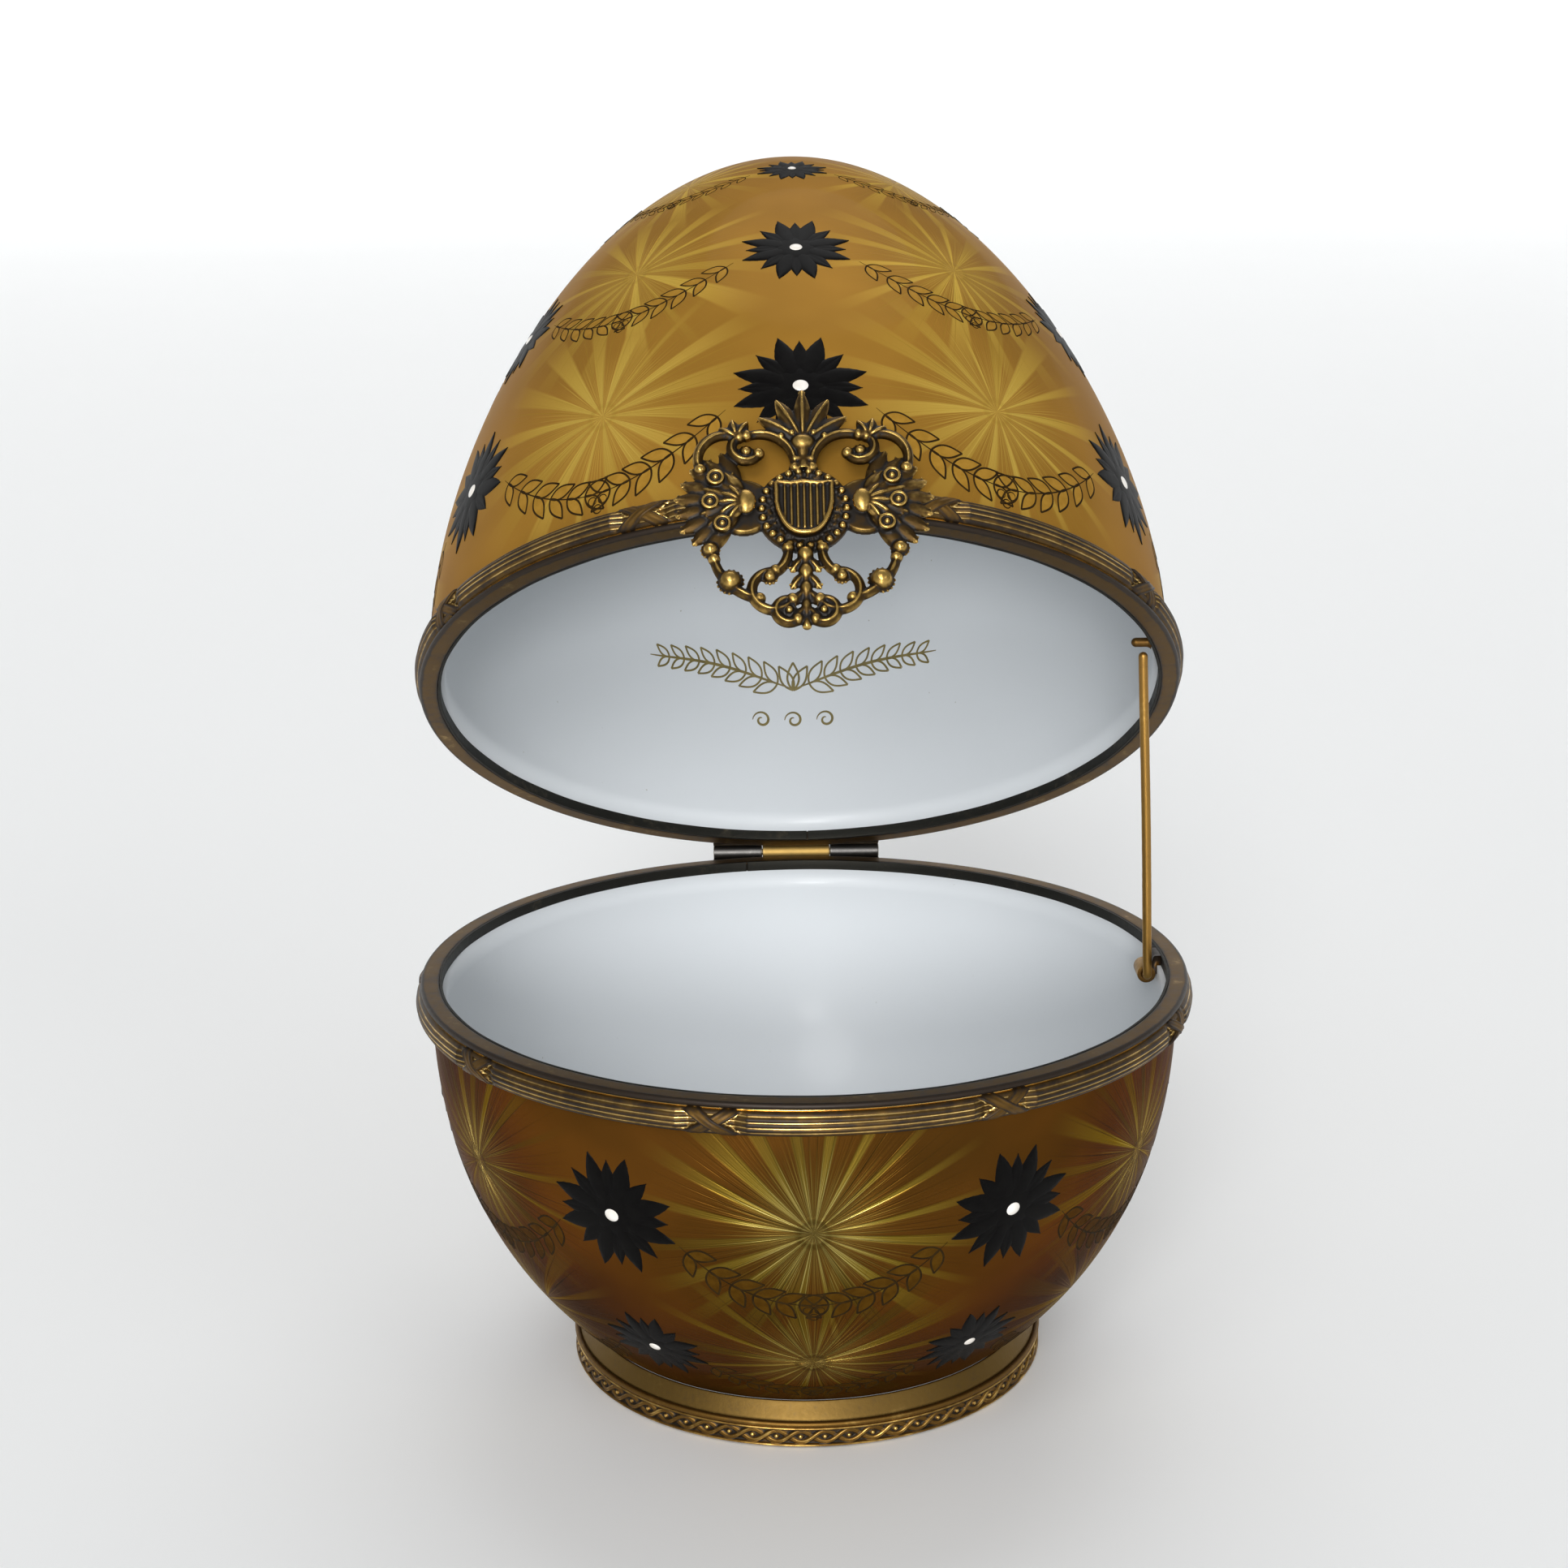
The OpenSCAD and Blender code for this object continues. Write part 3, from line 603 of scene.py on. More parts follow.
def place(obj, body, slot, *nodes):
    """Says which body a piece rides and the solids that it stands for; slot is not used."""
    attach(obj, body)
    if nodes:
        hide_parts(*nodes)


def finish(obj, material, body, slot, *nodes):
    dress(obj, material)
    place(obj, body, slot, *nodes)


# Dark, middle and bright tone of each metal, and how it is rubbed
METALS = {
    "band_brass": ((38, 27, 16), (104, 79, 41), (228, 194, 122),
                   dict(rough=(0.2, 0.46), polish=(0.53, 0.74))),
    "tie_brass": ((38, 27, 16), (104, 78, 39), (214, 176, 102), dict(rough=(0.28, 0.5))),
    "lining_brass": ((24, 24, 23), (50, 49, 45), (120, 110, 88),
                     dict(rough=(0.34, 0.55), polish=(0.6, 0.82))),
    "foot_brass": ((60, 45, 21), (112, 88, 45), (152, 124, 70),
                   dict(rough=(0.42, 0.5), polish=(0.55, 0.77), grain=1500.0, bump=0.35)),
    "frieze_brass": ((34, 25, 13), (116, 86, 40), (222, 184, 104),
                     dict(rough=(0.24, 0.5), polish=(0.56, 0.78))),
    "hinge_brass": ((30, 30, 30), (92, 90, 88), (196, 192, 184),
                    dict(rough=(0.28, 0.44), polish=(0.54, 0.74))),
    "hinge_bright": ((110, 88, 50), (190, 158, 92), (226, 200, 138),
                     dict(rough=(0.46, 0.6), polish=(0.55, 0.77))),
    "pin_steel": ((96, 94, 90), (150, 148, 142), (206, 204, 198), dict(rough=(0.25, 0.4))),
    "seat_brass": ((34, 26, 16), (74, 58, 34), (150, 120, 72),
                   dict(rough=(0.36, 0.5), hollow=(-0.14, -0.02), polish=(0.02, 0.16))),
    "stay_brass": ((92, 66, 30), (160, 122, 62), (206, 168, 96),
                   dict(rough=(0.3, 0.42), polish=(0.55, 0.77), grain=1800.0)),
    "peg_brass": ((40, 28, 16), (104, 76, 38), (176, 136, 74),
                  dict(rough=(0.32, 0.5), polish=(0.55, 0.77))),
    "badge_brass": ((24, 18, 12), (74, 56, 30), (196, 160, 88),
                    dict(rough=(0.26, 0.48), hollow=(0.38, 0.55), polish=(0.57, 0.8))),
}
metals = {name: antique(name, *tones, **looks) for name, (*tones, looks) in METALS.items()}


def cast(obj, node, body, slot, *rub):
    """Finishes a metal piece that stands for a solid: its wear, where given, and its metal."""
    if rub:
        wear(obj, *rub)
    finish(obj, metals[slot], body, slot, node)


# Porcelain
class Wall:
    """Face of a shell: radius, distance from the rim and the way out along its arc. The inner face
    lies behind the outer one and its way out points into the shell."""

    def __init__(self, curve, at, sign, inner=False, n=400):
        way = bezier_way(curve, n)
        self.points = bezier(curve, n)
        self.out = np.stack([way[:, 1], -way[:, 0]], 1)
        if inner:
            self.out = -self.out
            self.points = self.points + WALL * self.out
        steps = np.linalg.norm(np.diff(self.points, axis=0), axis=1)
        self.arc = np.concatenate([[0], np.cumsum(steps)])
        self.at = at
        self.sign = sign
        self.length = self.arc[-1]

    def girth(self, arc):
        return np.interp(arc, self.arc, self.points[:, 0])

    def place(self, az, arc, lift=0.0):
        lines = (*self.points.T, *self.out.T)
        r, d, out_r, out_d = [np.interp(arc, self.arc, line) for line in lines]
        return self.at(r + lift * out_r, az, d + lift * out_d)

    def near(self, az, arc, x, y, lift=0.0):
        """Point x to the right and y up from a place on the wall."""
        s = arc + self.sign * y
        return self.place(az + x / np.maximum(self.girth(s), 3.0), s, lift)


LID_WALL = Wall(LID_CURVE, up, 1)
BOWL_WALL = Wall(BOWL_CURVE, down, -1)


def shell(prefix, wall, rest, skin, n=288):
    """Porcelain shell: rim edge, painted outside, then the white rest of the section."""
    arc = np.linspace(0, 1, 121) * wall.length
    outside = np.stack([wall.girth(arc), np.interp(arc, wall.arc, wall.points[:, 1])], 1)
    section = np.concatenate([RIM_EDGE, outside, rest])
    arcs = np.concatenate([np.zeros(len(RIM_EDGE)), arc, np.full(len(rest), wall.length)])
    nv = len(section)
    points = swept(wall.at, np.linspace(-math.pi, math.pi, n + 1)[:-1], section)
    closed = section[0, 0] > 0.01 and section[-1, 0] > 0.01
    quads = grid_faces(n, nv, True, closed, wall.sign > 0)
    obj = new_object(prefix + "_shell", points, quads)
    faces = len(obj.data.polygons)
    i, j = np.meshgrid(np.arange(n), np.arange(nv if closed else nv - 1), indexing="ij")
    u = np.stack([i, i + 1, i + 1, i], -1).reshape(-1, 4) / n - 0.5
    v = np.stack([j, j, j + 1, j + 1], -1).reshape(-1, 4) % nv
    if wall.sign > 0:
        u, v = u[:, ::-1], v[:, ::-1]
    corner_map(obj, "place", np.stack([u, arcs[v] / MAP_MM], -1)[:faces])
    corner_map(obj, "girth", np.stack([section[v, 0] / MAP_MM, 0 * u], -1)[:faces])
    dress(obj, skin, white, cement)
    level = j.ravel()
    rim = len(RIM_EDGE)
    painted = (level >= rim) & (level < rim + len(outside) - 1)
    under_band = (level > 0) & (level < rim - 1)
    index = np.where(painted, 0, np.where(under_band, 2, 1))
    obj.data.polygons.foreach_set("material_index", index[:faces].astype(np.int32))
    place(obj, prefix, "porcelain_" + prefix, prefix + "_shell")


def inner_wall(curve, end, n):
    """Inside of a shell, from its end back to the rim."""
    way = bezier_way(curve, n, end, 0)
    return bezier(curve, n, end, 0) + WALL * np.stack([-way[:, 1], way[:, 0]], 1)


RIM_EDGE = np.array([[INNER_R, LINING_END], [REBATE_R, LINING_END], [REBATE_R, LAND + 0.02],
                     [SHELL_R - 0.15, LAND + 0.02], [SHELL_R, LAND + 0.15]])
COLUMNS = 6
PETALS = 8
PETAL_START = 1.0
SUNK = 0.03
PAINT_LIFT = 0.012
PAINT_CROWN = 0.035
FESTOON_SAG = 9.0
FESTOON_DROP = 3.2
FESTOON_GAP = 9.6
FESTOON_PAIRS = 6
LEAF_LEN = 4.4
LEAF_W = 0.95
LEAF_TURN = 0.62
LEAF_STROKE = 0.28
STEM_STROKE = 0.2
BERRIES = ((-0.8, -13.2), (0.8, -13.2), (0.0, -14.5))
BERRY_R = 0.62
LID_ROWS = [16.0, 44.0, 71.0]
BOWL_ROWS = [14.0, 38.5]

white = glazed_white()
cement = enamel("rim_cement", (36, 31, 25), (54, 47, 38), 0.7, 0.0, 0.1, 300.0)
# The last tone of each skin is its painted glint, a highlight painted into the enamel colour
lid_skin = egg_enamel("lid_engine_turned", LID_ROWS, COLUMNS, 0.5, LID_WALL.length, 16,
                      ((158, 116, 46), (140, 102, 38), (204, 170, 76), (150, 118, 40),
                       (210, 180, 88)), (200, 160, 80), 0.35, 0.5, 0.3)
bowl_skin = egg_enamel("bowl_engine_turned", BOWL_ROWS, COLUMNS, 0.0, None, 20,
                       ((106, 66, 20), (78, 50, 13), (142, 120, 42), (42, 38, 10),
                        (250, 230, 144)), (140, 104, 40), 0.76, 0.4, 1.0)

lid_inside = inner_wall(LID_CURVE, 1.0, 90)
lid_inside = lid_inside[lid_inside[:, 0] > 0.01]
lid_rest = np.concatenate([[[0.0, LID_H - WALL]], lid_inside])
shell("lid", LID_WALL, lid_rest, lid_skin)

bowl_inside = inner_wall(BOWL_CURVE, WALL_END, 70)
floor_start = bowl_inside[0]
floor_way = bezier_way(BOWL_CURVE, 2, WALL_END, WALL_END)[0]
floor_drop = RIM_Z - FLOOR_Z - floor_start[1]
floor_curve = [floor_start, floor_start + floor_way * floor_drop * 0.55 / floor_way[1],
               [floor_start[0] * 0.55, RIM_Z - FLOOR_Z], [0, RIM_Z - FLOOR_Z]]
base_d = RIM_Z - BASE_Z
ring_r = BASE_R - BASE_RING_W
base = [[BASE_R, base_d - 0.1], [BASE_R - 0.3, base_d], [ring_r, base_d],
        [ring_r - 0.4, base_d - BASE_HOLLOW], [0.02, base_d - BASE_HOLLOW]]
bowl_rest = np.concatenate([base, bezier(floor_curve, 40)[::-1][1:-1], bowl_inside])
shell("bowl", BOWL_WALL, bowl_rest, bowl_skin)


# Painted and enamelled motifs
class Patches(Gather):
    """Small raised patches that lie on a wall."""

    def add(self, points, flip=False):
        self.take(points, grid_faces(*points.shape[:2], flip=flip))

    def build(self, name, body, material):
        finish(self.whole(name), material, body, "porcelain_" + body)


def swung(x, y, turn):
    """Plane coordinates turned by an angle."""
    return x * math.cos(turn) - y * math.sin(turn), x * math.sin(turn) + y * math.cos(turn)


class Spot:
    """Place on a wall where a motif is drawn, x to the right and y up."""

    def __init__(self, wall, az, arc, scale=1.0):
        self.wall = wall
        self.az = az
        self.arc = arc
        self.scale = scale

    def lay(self, patches, x, y, lift, flip=False):
        points = self.wall.near(self.az, self.arc, x * self.scale, y * self.scale, lift)
        patches.add(points, flip == (self.wall.sign > 0))

    def petal(self, patches, turn, length, width, bend, rise):
        """Pointed petal that leaves the centre in the direction turn, domed across."""
        t = np.linspace(0, 1, 9)[:, None]
        v = np.linspace(-1, 1, 7)[None, :]
        side = v * width * np.sin(math.pi * t ** 0.75) ** 0.8 + bend * t * t
        x, y = swung(PETAL_START + t * length + 0 * v, side, turn)
        self.lay(patches, x, y, rise * dome(v) - SUNK + 0 * t)

    def disc(self, patches, rx, ry, rise):
        a = np.linspace(0, TAU, 20)[:, None]
        t = np.linspace(1, 0.001, 5)[None, :]
        self.lay(patches, rx * t * np.cos(a), ry * t * np.sin(a), rise * dome(t) - SUNK + 0 * a, True)

    def rosette(self, black, dots):
        """Spiky black flower with a white dot at its heart."""
        for k in range(PETALS):
            turn = TAU * (k + 0.5) / PETALS
            self.petal(black, turn, 8.2, 1.75, 0.7 if k % 2 else -0.7, 0.16)
            for side in (1, -1):
                self.petal(black, turn + side * 0.20, 7.0, 1.0, side * 1.6, 0.13)
            self.petal(black, turn + TAU / 2 / PETALS, 5.6, 1.2, 0.0, 0.12)
        self.disc(black, 3.9, 3.9, 0.2)
        self.disc(dots, 1.25, 1.15, 0.4)

    def line(self, ink, path, stroke, taper=True):
        """Painted line, thicker along its middle."""
        path = np.asarray(path, float)
        left = side_way(path) * stroke
        if taper:
            left = left * np.sqrt(np.sin(np.linspace(0.08, math.pi - 0.08, len(path))))[:, None]
        x, y = [np.stack([(path + off * left)[:, k] for off in (-0.5, 0.0, 0.5)], 1) for k in (0, 1)]
        self.lay(ink, x, y, PAINT_LIFT + np.array([0.0, PAINT_CROWN, 0.0]) + 0 * x)

    def leaf_line(self, ink, x0, y0, turn, length, width, stroke):
        """Thin painted line round a leaf."""
        t = np.linspace(0, 1, 13)
        half = width * np.sin(math.pi * t ** 0.85)
        x, y = swung(np.append(t, t[::-1]) * length, np.append(half, -half[::-1]), turn)
        self.line(ink, np.stack([x0 + x, y0 + y], 1), stroke, False)

    def leaf(self, leaves, x0, y0, turn, length, width):
        t = np.linspace(0, 1, 8)[:, None]
        v = np.linspace(-1, 1, 5)[None, :]
        x, y = swung(t * length + 0 * v, v * width * np.sin(math.pi * t ** 0.85), turn)
        self.lay(leaves, x0 + x, y0 + y, PAINT_LIFT + 0 * x)

    def festoon(self, leaves, ink, half):
        """Hanging chain of paired leaves between two rosettes that stand at half to either side."""
        span = half - FESTOON_GAP

        def hang(x):
            return -FESTOON_DROP - FESTOON_SAG * (1 - (x / span) ** 2)

        for side in (-1, 1):
            steps = side * span * np.linspace(1, 0, 31)
            self.line(ink, np.stack([steps, hang(steps)], 1), STEM_STROKE)
            for k in range(FESTOON_PAIRS):
                f = (k + 0.35) / FESTOON_PAIRS
                x = side * span * (1 - f)
                heading = math.atan(2 * FESTOON_SAG * x / span ** 2) + (side > 0) * math.pi
                size = 1.0 - 0.25 * abs(0.4 - f)
                for turn in (heading - LEAF_TURN, heading + LEAF_TURN):
                    leaf = (x, hang(x), turn, LEAF_LEN * size, LEAF_W * size)
                    self.leaf(leaves, *leaf)
                    self.leaf_line(ink, *leaf, LEAF_STROKE)
        a = np.linspace(0, TAU, 16)
        for x, y in BERRIES:
            ring = np.stack([x + BERRY_R * np.cos(a), y + BERRY_R * np.sin(a)], 1)
            self.line(ink, ring, 0.22)


black_enamel = enamel("black_enamel", (5, 4, 4), (9, 8, 7), 0.4, 0.0, 0.06)
dot_enamel = enamel("white_enamel", (236, 232, 226), (222, 216, 206), 0.25, 0.5)
ink_paint = enamel("dark_ink", (34, 24, 10), (50, 36, 14), 0.6, 0.0, 0.03)
leaf_gold = enamel("leaf_gold", (168, 127, 50), (154, 115, 42), 0.46, 0.04, 0.05, metal=0.35)
bowl_leaf_gold = enamel("bowl_leaf_gold", (100, 70, 20), (84, 57, 15), 0.4, 0.02, 0.05, metal=0.76)


def sprig(spot, reach):
    """Two painted sprays of leaves and a few curls on the white inside of the lid."""
    def height(x):
        return 2.6 * math.sin(x / reach * math.pi) + 0.006 * x * x

    ink = Patches()
    for side in (-1, 1):
        spot.line(ink, [(side * x, height(x)) for x in np.linspace(0, reach, 30)], 0.5)
        for k in range(8):
            x = 2.6 + (reach - 3.4) * k / 8
            slope = math.atan((height(x + 0.1) - height(x)) / 0.1)
            size = 1.0 - 0.05 * k
            for way in (-0.7, 0.7):
                turn = math.pi - slope - way if side < 0 else slope + way
                spot.leaf_line(ink, side * x, height(x), turn, 4.2 * size, 0.85 * size, 0.32)
    a = np.linspace(0, 8, 30)
    for k in range(3):
        spot.leaf_line(ink, 0, -0.2, math.radians(60 + 30 * k), 4.6, 0.95, 0.34)
        curl = 1.5 - a / 7
        spot.line(ink, np.stack([(k - 1) * 5.2 + curl * np.cos(a), curl * np.sin(a) - 5.2], 1), 0.42)
    ink.build("lid_inside_sprig", "lid", ink_gold)


ink_gold = enamel("sprig_ink", (104, 92, 48), (124, 110, 60), 0.4, 0.2, 0.4)
sprig(Spot(Wall(LID_CURVE, up, 1, True), math.pi, 21.0), 24.0)


def decorate(prefix, wall, rows, first, leaf_paint):
    """Rosettes and festoons in straight columns, smaller where the wall is narrower."""
    black, dots, leaves, ink = Patches(), Patches(), Patches(), Patches()
    step = TAU / COLUMNS
    for arc in rows:
        scale = min(1.0, float(wall.girth(arc)) / SHELL_R)
        low = arc + wall.sign * -15 * scale
        for k in range(COLUMNS):
            az = math.radians(first) + step * k
            Spot(wall, az, arc, scale).rosette(black, dots)
            if 0 < low < wall.length - 1:
                between = Spot(wall, az + step / 2, arc, scale)
                between.festoon(leaves, ink, step / 2 * wall.girth(arc) / scale)
    black.build(prefix + "_rosettes", prefix, black_enamel)
    dots.build(prefix + "_rosette_dots", prefix, dot_enamel)
    leaves.build(prefix + "_leaves", prefix, leaf_paint)
    ink.build(prefix + "_leaf_lines", prefix, ink_paint)


decorate("lid", LID_WALL, LID_ROWS, 0, leaf_gold)
decorate("bowl", BOWL_WALL, BOWL_ROWS, 30, bowl_leaf_gold)


# Rim bands
BAND_MID = (BAND_H + HALF_GAP + BEAD_H) / 2
BAND_HALF = (BAND_H - HALF_GAP - BEAD_H) / 2
RIBBON_RUN = BAND_HALF / math.tan(RIBBON_SLOPE)
BAND_POINTS = 900
TIE_REACH = 4.6
RIBBON_RISE = 0.26


def swell(u):
    return dome(2 * u - 1)


def tie_angles(start):
    """Azimuths of the ribbon ties, without the one behind the hinge seat."""
    seat = math.degrees(math.asin((HINGE_W / 2 + BAND_H) / BAND_R))
    angles = [(start + 360 * k / TIES) % 360 for k in range(TIES)]
    return [math.radians(a) for a in angles if abs(a - 180) > seat]


def band_profile():
    """Radius, depth and share of the reeded part for each point down the section."""
    top = SHELL_R + BAND_EDGE
    pts = [(REBATE_R, HALF_GAP + 0.12, -1), (REBATE_R + 0.1, HALF_GAP + 0.02, -1),
           (REBATE_R + 0.5, HALF_GAP, -1), (top - 0.3, HALF_GAP, -1)]
    for a in range(-80, 81, 16):
        c = math.radians(a)
        bulge = BEAD_H / 2 * math.cos(c)
        pts.append((top + BEAD_H * 0.4 + bulge, HALF_GAP + BEAD_H / 2 * (1 + math.sin(c)), -1))
    for u in np.linspace(0.012, 1, 51):
        pts.append((0, HALF_GAP + BEAD_H + 2 * BAND_HALF * u, u))
    pts += [(SHELL_R, BAND_H, -1), (SHELL_R, LAND + 0.3, -1), (REBATE_R, LAND, -1)]
    out = []
    pts = np.array(pts)
    for a, b in zip(pts, np.roll(pts, -1, axis=0)):
        out.append(a)
        if a[2] < 0 and b[2] < 0:
            cuts = int(math.hypot(*(b - a)[:2]) / 0.14)
            out += [a + (b - a) * k / (cuts + 1) for k in range(1, cuts + 1)]
    return np.array(out)


def band(name, at, start, sign):
    """Reeded band whose reeds sink under the ribbons."""
    ties = tie_angles(start)
    az = [ring_angles(BAND_POINTS)]
    for t in ties:
        az.append((t + np.radians(np.arange(-5.0, 5.01, 0.13))) % TAU)
    az = np.unique(np.round(np.concatenate(az), 5))
    prof = band_profile()
    reeded = (prof[:, 2] >= 0)[None, :]
    u = np.clip(prof[:, 2], 0, 1)[None, :]
    ridge = np.abs(np.sin(math.pi * REEDS * u)) ** 0.8
    wobble = np.interp(az, np.linspace(0, TAU, 161), noise_rng.uniform(-1, 1, 161))[:, None]
    full = SHELL_R + BAND_EDGE + swell(u) * (BAND_T - BAND_EDGE)
    reeds = full - REED_DEPTH * swell(u) * (1 - ridge) + 0.02 * wobble
    r = np.where(reeded, reeds, prof[None, :, 0])
    y = np.abs(prof[:, 1] - BAND_MID)[None, :]
    for t in ties:
        x = np.abs((az - t + math.pi) % TAU - math.pi)[:, None] * BAND_R
        edge = x * math.tan(RIBBON_SLOPE) - RIBBON_W / 2 / math.cos(RIBBON_SLOPE)
        inside = np.clip((edge - y) / 0.35 + 0.5, 0, 1) * np.clip((TIE_REACH - x) / 1.6, 0, 1)
        under = np.clip((5.0 - x) / 2.0, 0, 1)
        r = np.where(reeded, r - 0.55 * inside * swell(u) - 0.02 * under, r)
        flat = np.clip(1.2 - np.abs(edge - y) / 0.8, 0, 1) * (x < 3.2)
        r = np.where(reeded & (flat > 0), np.minimum(r, full - 0.12 * flat), r)
    points = at(r, az[:, None] + 0 * r, prof[:, 1] + 0 * r)
    return new_object(name, points, grid_faces(len(az), len(prof), True, True, sign > 0))


def band_ties(name, at, start, sign):
    """Crossed ribbons with raised edges, one woven over the other."""
    patches = Patches()
    s = np.linspace(-1, 1, 41)[:, None]
    t = np.linspace(-1, 1, 15)[None, :]
    for az in tie_angles(start):
        for side in (-1, 1):
            run = s * (RIBBON_RUN + 0.25)
            over = t * RIBBON_W / 2
            x = side * (run - over * math.sin(RIBBON_SLOPE))
            y = run * math.tan(RIBBON_SLOPE) + over * math.cos(RIBBON_SLOPE)
            y = np.clip(y, -BAND_HALF, BAND_HALF)
            u = (y + BAND_HALF) / (2 * BAND_HALF)
            skin = SHELL_R + BAND_EDGE + (BAND_T - BAND_EDGE) * swell(u)
            crown = dome(t ** 3) * RIBBON_RISE
            crown = crown + 0.07 * np.exp(-((np.abs(t) - 0.72) / 0.13) ** 2)
            crown = crown + 0.05 * np.exp(-(t / 0.2) ** 2)
            weave = (0.16 if side > 0 else -0.02) * np.exp(-(s / 0.3) ** 2)
            r = skin - 0.1 + (crown + weave) * np.clip((1.04 - np.abs(s)) / 0.1, 0.2, 1)
            points = at(r + 0 * x, az + x / BAND_R, BAND_MID + y + 0 * x)
            patches.add(points, flip=(side * sign) > 0)
    return patches.whole(name)


for body, at, start, sign in (("bowl", down, BOWL_TIE_START, -1), ("lid", up, LID_TIE_START, 1)):
    name = body + "_rim_band"
    cast(band(name, at, start, sign), name, body, "band_brass", 8, 6.0)
    name = body + "_band_ties"
    cast(band_ties(name, at, start, sign), name, body, "tie_brass", 5, 3.2)


# Linings
def lining(name, at, seam, sign):
    """Flat strip bent to a ring, with a butt seam."""
    section = rounded([(LINING_R, HALF_GAP), (REBATE_R, HALF_GAP),
                       (REBATE_R, LINING_END), (LINING_R, LINING_END)], 0.09)
    half = 0.09 / LINING_R
    way = np.linspace(half + 0.002, TAU - half - 0.002, 359)
    az = seam + math.pi + np.concatenate([[half], way, [TAU - half]])
    wave = 1 + 0.0006 * np.sin(az * 23)
    r = section[None, :, 0] * wave[:, None]
    points = at(r, az[:, None] + 0 * r, section[None, :, 1] + 0 * r)
    return new_object(name, points, capped(len(az), len(section), sign < 0))


for body, at, seam, sign in (("bowl", down, 9, -1), ("lid", up, -2, 1)):
    name = body + "_rim_lining"
    cast(lining(name, at, math.radians(seam), sign), name, body, "lining_brass", 2, 4.0)


# Foot
def ground(r, az, z):
    return np.stack([r * np.sin(az), -r * np.cos(az), z], -1)


tread_r = WALL_R - TREAD_W
foot_section = rounded([(tread_r, 0), (WALL_R, 0), (WALL_R, LEDGE_Z), (WAIST_R + 0.3, FOOT_H),
                        (WAIST_R + 0.05, FOOT_H), (BASE_R + 0.05, BASE_Z), (FLANGE_R, BASE_Z),
                        (FLANGE_R, FLANGE_Z), (tread_r, FLANGE_Z)], 0.25, 4)
dense = []
for a, b in zip(foot_section, np.roll(foot_section, -1, axis=0)):
    cuts = max(1, int(np.linalg.norm(b - a) / 0.35))
    dense += [a + (b - a) * k / cuts for k in range(cuts)]
cast(turned("foot_ring", dense, 360, ground), "foot_ring", "bowl", "foot_brass", 5, 3.0)
LINK_POINTS = 22


def frieze():
    """Strip with two interlaced waves between plain edges, and a bead in each eye."""
    n = FRIEZE_LINKS * LINK_POINTS
    rows = 41
    az = ring_angles(n)[:, None]
    z = np.linspace(0, FRIEZE_H, rows)[None, :]
    phase = az * FRIEZE_LINKS / 2
    link = TAU * WALL_R / FRIEZE_LINKS
    middle = FRIEZE_H / 2
    swing = FRIEZE_H / 2 - 0.62
    height = np.zeros((n, rows))
    for sign in (1, -1):
        wave = middle + sign * swing * np.sin(phase)
        slope = sign * swing * np.cos(phase) * math.pi / link
        dist = np.abs(z - wave) / np.sqrt(1 + slope ** 2)
        cord = dome(dist / 0.34)
        lift = 0.72 + 0.28 * sign * np.cos(phase)
        cord = cord * lift - 0.12 * np.exp(-(dist / 0.1) ** 2) * (cord > 0)
        height = np.maximum(height, cord)
    eye = phase / math.pi - 0.5
    across = (eye - np.round(eye)) * link
    height = np.maximum(height, dome(np.hypot(across, z - middle) / 0.36) * 0.75)
    for edge in (0.2, FRIEZE_H - 0.2):
        height = np.maximum(height, dome((z - edge) / 0.24) * 0.95)
    r = WALL_R + FRIEZE_T * 0.6 + (FRIEZE_RELIEF + FRIEZE_T * 0.4) * height
    r = np.concatenate([np.full((n, 1), WALL_R), r, np.full((n, 1), WALL_R)], 1)
    z = np.concatenate([[[0.0]], z, [[FRIEZE_H]]], 1) + FRIEZE_Z
    points = ground(r, az + 0 * r, z + 0 * r)
    return new_object("foot_frieze", points, grid_faces(n, rows + 2, True))


cast(frieze(), "foot_frieze", "bowl", "frieze_brass", 6, 4.0)

bead_z = FRIEZE_Z + FRIEZE_H + BEAD_R
a = ring_angles(20)
ring = np.stack([WALL_R + FRIEZE_T + BEAD_R * np.cos(a), bead_z + BEAD_R * np.sin(a)], 1)
cast(turned("foot_bead", ring, 720, ground), "foot_bead", "bowl", "frieze_brass", 3, 3.0)


# Hinge
EASE = 0.12


def rod_along_x(name, x0, x1, r, bore, n=48):
    """Tube along the hinge axis with eased ends."""
    e = EASE
    prof = [(x0, bore), (x0, r - e), (x0 + e * 0.3, r - e * 0.3), (x0 + e, r)]
    prof += [(x0 + (x1 - x0) * k / 24, r) for k in range(1, 24)]
    prof += [(x1 - e, r), (x1 - e * 0.3, r - e * 0.3), (x1, r - e), (x1, bore)]
    x, out = np.array(prof).T
    a = ring_angles(n)[:, None]
    pts = np.stack([x + 0 * a, HINGE_Y + out * np.cos(a), RIM_Z + out * np.sin(a)], -1)
    return new_object(name, pts, grid_faces(n, len(prof), True, True))


